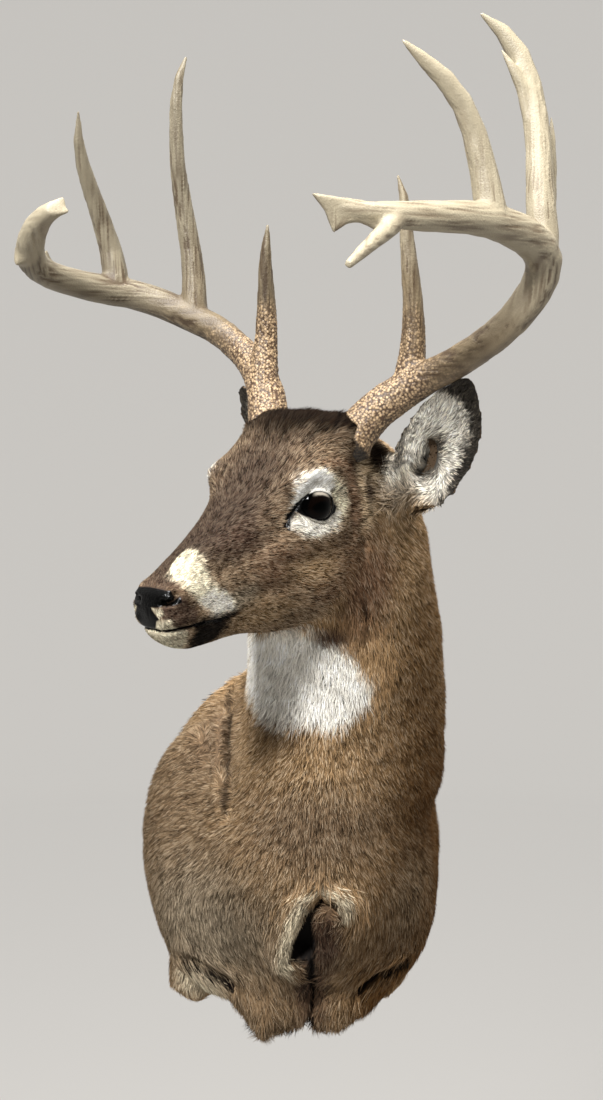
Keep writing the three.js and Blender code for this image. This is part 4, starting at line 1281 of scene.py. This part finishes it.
def loose(world):
    """1 where tips hang free of the hide: along the lower hems and at the foot of the ears."""
    hems = ramp(-world[:, 2], 78 * MM, 112 * MM) * ramp(-world[:, 1], 150 * MM, 220 * MM)
    foot = ear_weight(world) * (1 - ramp(ear_place(world)[:, 0], 16, 40))
    return 0.9 * np.maximum(hems, foot)


MOST_TRIANGLES = 196000  # in one piece


def grow_region(prefix, skin, weight, count, seed, measures, bent, calm=0.55):
    """Grows one region's tufts and parts them into pieces from the front of the mount to its back."""
    roots = Roots(skin, weight, count, seed)
    colours, _ = markings_and_painted_light(roots.places, roots.normals)
    length, width, low, high, contrast = measures(roots.places, roots.normals)
    contrast = contrast * (1 - calm * ramp(colours.min(axis=1), 0.25, 0.6))
    tufts = grow_tufts(skin, roots, length, width, low, high, colours, contrast, bent)
    order = np.lexsort((roots.places[:, 1], roots.places[:, 0] > roots.places[:, 0].mean()))
    triangles = count * len(BENT_FACES if bent else STRAIGHT_FACES)
    for k, pick in enumerate(np.array_split(order, math.ceil(triangles / MOST_TRIANGLES))):
        tuft_mesh(f"{prefix}_{k + 1}", roots, pick, tufts)


def hairless(skin):
    """0 where no tuft may grow: bare skin, the open lids and the hide's turned back edge."""
    head = to_head(skin.points)
    folded = mirrored(head)
    bare = bare_skin(head, folded) * head_weight(skin.points)
    free = 1 - ramp(bare, 0.3, 0.7)
    back = ramp(-skin.points[:, 1], 2 * MM, 12 * MM)
    inside_board = (skin.normals[:, 1] > 0.8) & (skin.points[:, 1] > -30 * MM)
    hollow = np.minimum(fold_gap(skin.points) + 0.5, dark_lines(skin.points / MM) + 2)
    return free * ramp(hollow, -1, 1.5) * np.where(inside_board, 0, back)


def long_hair(world):
    """1 where the body's hair is long: throat, rim of the fold, hems and the stumps of the forelegs."""
    millimetres = world / MM
    throat = 0.8 * ball(millimetres, (18, -380, 262), (70, 70, 66), 0.2, 20)
    low = ramp(-millimetres[:, 2], 58, 96) * ramp(-millimetres[:, 1], 60, 140)
    rim = 1 - ramp(seen_distance(millimetres, FOLD_RIM), 12, 22)
    return np.maximum.reduce([throat, low, rim])


class DEERMOUNT_OT_body_coat(bpy.types.Operator):
    """Hair of trunk, foreleg roots and neck: short and straight, or longer and bent"""

    bl_idname = "deermount.body_coat"
    bl_label = "Body coat"

    def execute(self, context):
        skin, settings = made["skin"], context.scene.deer_coat
        weight = hairless(skin) * (1 - head_weight(skin.points)) * (1 - ear_weight(skin.points))
        weight *= 0.4 + 0.6 * ramp(-skin.points[:, 1], 60 * MM, 200 * MM)
        long = long_hair(skin.points)

        def short_measures(places, normals):
            head = head_weight(places)
            down = ramp(-places[:, 2], -100 * MM, 60 * MM)
            length = mix(settings.neck_length * (1 + 0.4 * down), 9 * MM, head)
            width = mix(1.35 * MM, 1.0 * MM, head)
            depth = mix(1.0, 0.45, head)
            return length, width, 0 * MM, 4.2 * MM * depth, np.ones(len(places))

        def long_measures(places, normals):
            head = head_weight(places)
            throat = ramp(places[:, 2], 120 * MM, 180 * MM)
            length = settings.chest_length * (1 + 0.6 * ramp(-places[:, 2], 120 * MM, 200 * MM))
            length = mix(length, 17 * MM, throat)
            length = mix(length, 10 * MM, head)
            length = mix(10 * MM, length, ramp(fold_gap(places), 4, 22))
            width = mix(1.3 * MM, 1.1 * MM, throat)
            depth = mix(1.0, 0.4, head)
            return length, width, 2.8 * MM * depth, 5.0 * MM * depth, mix(1.0, 0.5, throat)

        short = weight * (1 - 0.6 * long)
        grow_region("coat_body", skin, short, settings.body_tufts, 11, short_measures, False)
        grow_region("coat_long", skin, weight * long, settings.long_tufts, 14, long_measures, True)
        return {"FINISHED"}


class DEERMOUNT_OT_head_coat(bpy.types.Operator):
    """Short hair of the face, longest on the crown and cheeks"""

    bl_idname = "deermount.head_coat"
    bl_label = "Head coat"

    def execute(self, context):
        skin, settings = made["skin"], context.scene.deer_coat
        weight = hairless(skin) * head_weight(skin.points) * (1 - ear_weight(skin.points))
        weight *= 1 + 0.8 * ramp(to_head(skin.points)[:, 0], 60, 140)

        def measures(places, normals):
            head = to_head(places)
            muzzle = ramp(head[:, 0], 10, 150)
            crown = ball(head, (-64, 0, 78), (58, 66, 34), 0.5, 3)
            crown = np.maximum(crown, ball(mirrored(head), (-84, 60, 24), (24, 22, 24), 0.5, 4))
            lids = 1 - ramp(eye_gap(head), 1, 14)
            length = settings.face_length * (1 - 0.5 * muzzle) * (1 + 1.3 * crown) * (1 - 0.5 * lids)
            width = 1.05 * MM * (1 - 0.28 * muzzle) * (1 - 0.25 * lids)
            high = 1.5 * MM * (1 - 0.5 * muzzle) * (1 + 2.0 * crown) * (1 - 0.4 * lids)
            return length, width, 0 * MM, high, np.full(len(places), 2.5)

        grow_region("coat_head", skin, weight, settings.head_tufts, 12, measures, False)
        return {"FINISHED"}


class DEERMOUNT_OT_ear_coat(bpy.types.Operator):
    """Pale strands inside the ears and short dark hair behind them"""

    bl_idname = "deermount.ear_coat"
    bl_label = "Ear coat"

    def execute(self, context):
        skin, settings = made["skin"], context.scene.deer_coat
        weight = hairless(skin) * ear_weight(skin.points)

        def measures(places, normals):
            inner = ear_inner(places, normals)
            place = ear_place(places)
            rim = ramp(line_distance(place, EAR_OUTER), 18, 42)
            rim *= ramp(line_distance(place, EAR_FRONT), 4, 20)
            length = mix(6 * MM, 17 * MM, inner * rim)
            length = np.maximum(length, 24 * MM * (1 - ramp(place[:, 0], 22, 44)))
            width = mix(0.8 * MM, 0.75 * MM, inner)
            low = mix(0.4 * MM, 1.6 * MM, inner * rim)
            return length, width, low, 2 * low, mix(0.8, 1.5, inner)

        grow_region("coat_ears", skin, weight * (0.5 + ear_inner(skin.points, skin.normals)),
                    settings.ear_tufts, 13, measures, True, 0.0)
        return {"FINISHED"}


# ---------------------------------------------------------------- eyes
IRIS_ANGLE = 44  # degrees from the eye's axis
PUPIL_ANGLES = (26, 15)  # the same, across and up


class DEERMOUNT_OT_eyes(bpy.types.Operator):
    """Two glass eyes with a wide pupil, each as large as its node"""

    bl_idname = "deermount.eyes"
    bl_label = "Eyes"

    def execute(self, context):
        brown, black, pale = (np.array(linear(colour)) for colour in ("#060302", "#010101", "#8f877a"))
        for name, side in (("left", 1), ("right", -1)):
            deselect()
            centre = from_head(EYE_CENTRE * (1, side, 1))
            radius = EYE_RADIUS * HEAD_SCALE * MM
            bpy.ops.mesh.primitive_uv_sphere_add(segments=96, ring_count=64, radius=radius, location=centre)
            eye = context.object
            eye.name = eye.data.name = f"glass_eye_{name}"
            bpy.ops.object.transform_apply(location=True, rotation=True, scale=True)
            head = to_head(positions(eye))
            across, rise, _ = eye_angles(head, side)
            gap = lid_gaps(head, side)[0]
            iris = np.hypot(across, rise) / IRIS_ANGLE
            pupil = np.hypot(across / PUPIL_ANGLES[0], rise / PUPIL_ANGLES[1])
            ring = ramp(pupil, 0.9, 1.2) * (1 - ramp(iris, 0.8, 1))
            # Painted reflection of the pale upper lid along the top of the glass.
            painted_lid_reflection = ramp(gap, -3.9, -2.6) * ramp(rise, 10, 24) * (1 - ramp(np.abs(across + 10), 14, 36))
            paint(eye, "Markings", tint(tint(black, brown, ring), pale, painted_lid_reflection))
            finish_piece(eye, eye_material(), "eye_glass", f"eye_{name}")
        return {"FINISHED"}


# ---------------------------------------------------------------- antlers
BURR = np.array((-61.0, 42.0, 44.0))
BURR_AXIS = unit(np.array((-18.0, 12.0, 19.0)))
BASE_STAIN = np.array((0.55, 0.47, 0.38))  # what is left of each colour near the base
PEARLED_REACH, STAINED_REACH, HANDLED_FROM = (70, 165), (120, 250), (240, 340)  # millimetres from the burr
STREAK_ROUNDS = 110
# The right beam ends in a blade with two points, and a third at its foot. Each has its place, reach and
# pull, in world millimetres.
BLADE_PULLS = [((-230, -442, 695), 14, (7, 0, 2)), ((-223, -441, 704), 4, (2, 0, 5)),
               ((-220, -442, 692), 4, (5, 0, 0)), ((-272, -389, 656), 6, (-2, -4, -6))]
BLADE = [(-226, -442, 697), (-256, -424, 674), (-270, -394, 660)]


def tube_axis(points, normals, edges):
    """Direction along an antler at each vertex: the one that its neighbours' normals don't take."""
    products = (normals[:, :, None] * normals[:, None, :]).reshape(-1, 9)
    around = spread(products, edges, 14).reshape(-1, 3, 3)
    return np.linalg.eigh(around)[1][:, :, 0]


def streaks(points, edges, axis, rounds, seed):
    """Random lines drawn out along the axis, from -1 to 1."""
    value = np.random.default_rng(seed).normal(0, 1, len(points))
    both = np.concatenate((edges, edges[:, ::-1]))
    along = np.abs(np.sum(unit(points[both[:, 1]] - points[both[:, 0]]) * axis[both[:, 0]], axis=1)) ** 8
    total = np.bincount(both[:, 0], along, minlength=len(points)) + 1e-9
    for _ in range(rounds):
        drawn = np.bincount(both[:, 0], along * value[both[:, 1]], minlength=len(points)) / total
        value = 0.2 * value + 0.8 * drawn
    value -= value.mean()
    return np.clip(value / (2.2 * value.std()), -1, 1)


class DEERMOUNT_OT_antlers(bpy.types.Operator):
    """Both antlers: each one bone, pearled round its base and grooved along its beam"""

    bl_idname = "deermount.antlers"
    bl_label = "Antlers"

    def execute(self, context):
        material = antler_material()
        for name, paleness in (("left", 1.0), ("right", 0.5)):
            nodes = [n for n in NODES if n.startswith(f"antler_{name}_")]
            antler = joined_copy(nodes, f"antler_{name}", JOIN_SWELL)
            apply_modifier(antler, "REMESH", mode="VOXEL", voxel_size=context.scene.deer_antler.voxel)
            self.shape(antler, palette_of(context.scene.deer_antler), paleness)
            finish_piece(antler, material, "antler", *nodes)
        return {"FINISHED"}

    def shape(self, antler, palette, paleness):
        """Rounds the bone, raises its pearls, cuts its grooves and colours it."""
        edges = edges_of(antler)
        points = spread(positions(antler), edges, 12, 0.5)
        for place, reach, pull in BLADE_PULLS:
            near = np.exp(-(np.linalg.norm(points / MM - place, axis=1) / reach) ** 2)
            points += near[:, None] * np.array(pull) * MM
        set_positions(antler, points)
        normals = normals_of(antler)
        axis = tube_axis(points, normals, edges)
        lines = streaks(points, edges, axis, STREAK_ROUNDS, 5)
        folded = mirrored(to_head(points))
        away = np.linalg.norm(folded - BURR, axis=1)
        rough = 1 - ramp(away + 22 * noise(points, 30 * MM, 2), *PEARLED_REACH)
        beads = np.maximum(pearls(points, 3.0 * MM, 8), 0.8 * pearls(points, 2.2 * MM, 18))
        along = (folded - BURR) @ BURR_AXIS
        burr = np.exp(-((along - 7) / 3.6) ** 2) * (away < 40)
        height = rough * (1.1 * beads - 0.3 + 0.3 * lines) + (1 - 0.5 * rough) * 0.42 * lines
        height += burr * (1.6 + 2 * beads)
        set_positions(antler, points + normals * height[:, None] * MM)
        front = ramp(-normals[:, 1] + 0.4 * noise(points, 40 * MM, 6), -0.5, 0.6)
        grooves = ramp(-lines + 0.4 * noise(points, 22 * MM, 4), -0.6, 1.3)
        blade = 1 - ramp(line_distance(points / MM, BLADE), 14, 26)
        paleness = np.maximum(paleness, blade)
        handled = paleness * front * np.maximum(ramp(away, *HANDLED_FROM), blade)
        worn = tint(palette["ivory"], palette["brown"], np.clip(grooves * (1.2 - handled), 0, 1))
        clean = ramp(away + 25 * noise(points, 30 * MM, 9), *STAINED_REACH)
        worn = worn * tint(BASE_STAIN, 1.0, clean)
        paint(antler, "Markings", worn * mix(0.5, 1.0, paleness)[:, None])
        measure(antler, "Pearled", ramp(rough + 0.25 * lines, 0.1, 0.9))
        # Painted shade where the antler sinks into the scalp, less on the tops of the pearls.
        painted_base_shade = (1 - ramp(along, 4, 9)) * (away < 45) * (1 - 0.8 * ramp(beads, 0.6, 0.8))
        measure(antler, "Light", 1 - 0.88 * painted_base_shade)


class DEERMOUNT_OT_board(bpy.types.Operator):
    """Finish of the plywood board behind the form"""

    bl_idname = "deermount.board"
    bl_label = "Board"

    def execute(self, context):
        board = NODES["back_board"]
        board.data.materials.clear()
        board.data.materials.append(plywood_material())
        return {"FINISHED"}


# ---------------------------------------------------------------- stage
BOWL_RADIUS, FLOOR_HEIGHT = 7, -1.4  # metres
LIGHTS_AIM = Vector((0, -0.3, 0.3))
CAMERA_PLACE = Vector((-53.9, -1950, 483.7)) * MM
CAMERA_YAW, CAMERA_PITCH = math.radians(2), math.radians(4)
CAMERA_LENS = 52.36  # millimetres, on a sensor of 36


class DEERMOUNT_OT_stage(bpy.types.Operator):
    """Pale floor and backdrop, soft lights and the camera"""

    bl_idname = "deermount.stage"
    bl_label = "Stage"

    def execute(self, context):
        self.backdrop()
        self.lights()
        self.camera(context.scene)
        return {"FINISHED"}

    def backdrop(self):
        """A bowl round the scene, flattened to a floor."""
        material, shader = new_material("Matt studio paint")
        place = node(material, "TexCoord", {}, "Object")
        back = node(material, "SeparateXYZ", {"Vector": place}, "Y")
        # The paint glows, as an evenly lit wall does, and less before the mount, so that shadows stay deep.
        glow = node(material, "MapRange", {"Value": back, "From Min": -4.5, "From Max": 0.3,
                                           "To Min": 0.03, "To Max": 0.46})
        feed(shader, {"Base Color": (*linear("#7d7a76"), 1), "Roughness": 0.9,
                      "Emission Color": (*linear("#f4f2ee"), 1), "Emission Strength": glow})
        deselect()
        bpy.ops.mesh.primitive_uv_sphere_add(segments=96, ring_count=48, radius=BOWL_RADIUS,
                                             location=(0, 0, -FLOOR_HEIGHT))
        bowl = bpy.context.object
        bowl.name = "studio_bowl"
        bpy.ops.object.transform_apply(location=True)
        points = positions(bowl)
        points[:, 2] = np.maximum(points[:, 2], FLOOR_HEIGHT)
        set_positions(bowl, points)
        bowl.data.materials.append(material)
        with editing(bowl):
            bpy.ops.mesh.flip_normals()
        bpy.ops.object.shade_smooth()

    def lights(self):
        for name, place, size, power in (
            ("key", (-1.08, -2.75, 2.04), 0.45, 168),
            ("ceiling_left", (-0.43, -0.82, 2.81), 0.8, 95),
            ("ceiling_right", (1.3, -1.05, 2.9), 0.9, 95),
            ("low", (1.6, -3.06, 0.58), 1.2, 16),
            ("back", (0.6, 2.6, 2.2), 2.0, 7),
        ):
            bpy.ops.object.light_add(type="AREA", location=place)
            light = bpy.context.object
            light.name = name
            light.data.size = size
            light.data.energy = power
            light.visible_glossy = name not in ("low", "ceiling_right")
            light.rotation_euler = (LIGHTS_AIM - Vector(place)).to_track_quat("-Z", "Y").to_euler()

    def camera(self, scene):
        """The camera, and a world that gives no light."""
        sin_yaw, cos_yaw, flat = math.sin(CAMERA_YAW), math.cos(CAMERA_YAW), math.cos(CAMERA_PITCH)
        forward = Vector((sin_yaw * flat, cos_yaw * flat, -math.sin(CAMERA_PITCH)))
        rotation = forward.to_track_quat("-Z", "Y").to_euler()
        bpy.ops.object.camera_add(location=CAMERA_PLACE, rotation=rotation)
        camera = bpy.context.object
        camera.data.sensor_width = 36
        camera.data.lens = CAMERA_LENS
        scene.camera = camera
        world = bpy.data.worlds.new("Studio")
        world.use_nodes = True
        feed(world.node_tree.nodes["Background"], {"Color": (*linear("#f4f3f0"), 1), "Strength": 0.0})
        scene.world = world
        scene.view_settings.view_transform = "Standard"


class DEERMOUNT_PT_panel(bpy.types.Panel):
    """Lists the pieces of the mount"""

    bl_idname = "DEERMOUNT_PT_panel"
    bl_label = "Shoulder mount"
    bl_space_type = "VIEW_3D"
    bl_region_type = "UI"
    bl_category = "Deer"

    def draw(self, context):
        for settings in (context.scene.deer_hide, context.scene.deer_coat, context.scene.deer_antler):
            for key in settings.__annotations__:
                self.layout.prop(settings, key)
        for operator in OPERATORS:
            self.layout.operator(operator.bl_idname)


SETTINGS = {"deer_hide": HideSettings, "deer_coat": CoatSettings, "deer_antler": AntlerSettings}
OPERATORS = [
    DEERMOUNT_OT_stage,
    DEERMOUNT_OT_hide,
    DEERMOUNT_OT_eyes,
    DEERMOUNT_OT_antlers,
    DEERMOUNT_OT_board,
    DEERMOUNT_OT_head_coat,
    DEERMOUNT_OT_ear_coat,
    DEERMOUNT_OT_body_coat,
]


def register():
    for group in (*SETTINGS.values(), *OPERATORS, DEERMOUNT_PT_panel):
        bpy.utils.register_class(group)
    for name, group in SETTINGS.items():
        setattr(bpy.types.Scene, name, PointerProperty(type=group))


def unregister():
    for name in SETTINGS:
        delattr(bpy.types.Scene, name)
    for group in (DEERMOUNT_PT_panel, *reversed(OPERATORS), *reversed(SETTINGS.values())):
        bpy.utils.unregister_class(group)


def main():
    register()
    made["coat_material"] = coat_material()
    for operator in OPERATORS:
        category, name = operator.bl_idname.split(".")
        getattr(getattr(bpy.ops, category), name)()


if __name__ == "__main__":
    main()
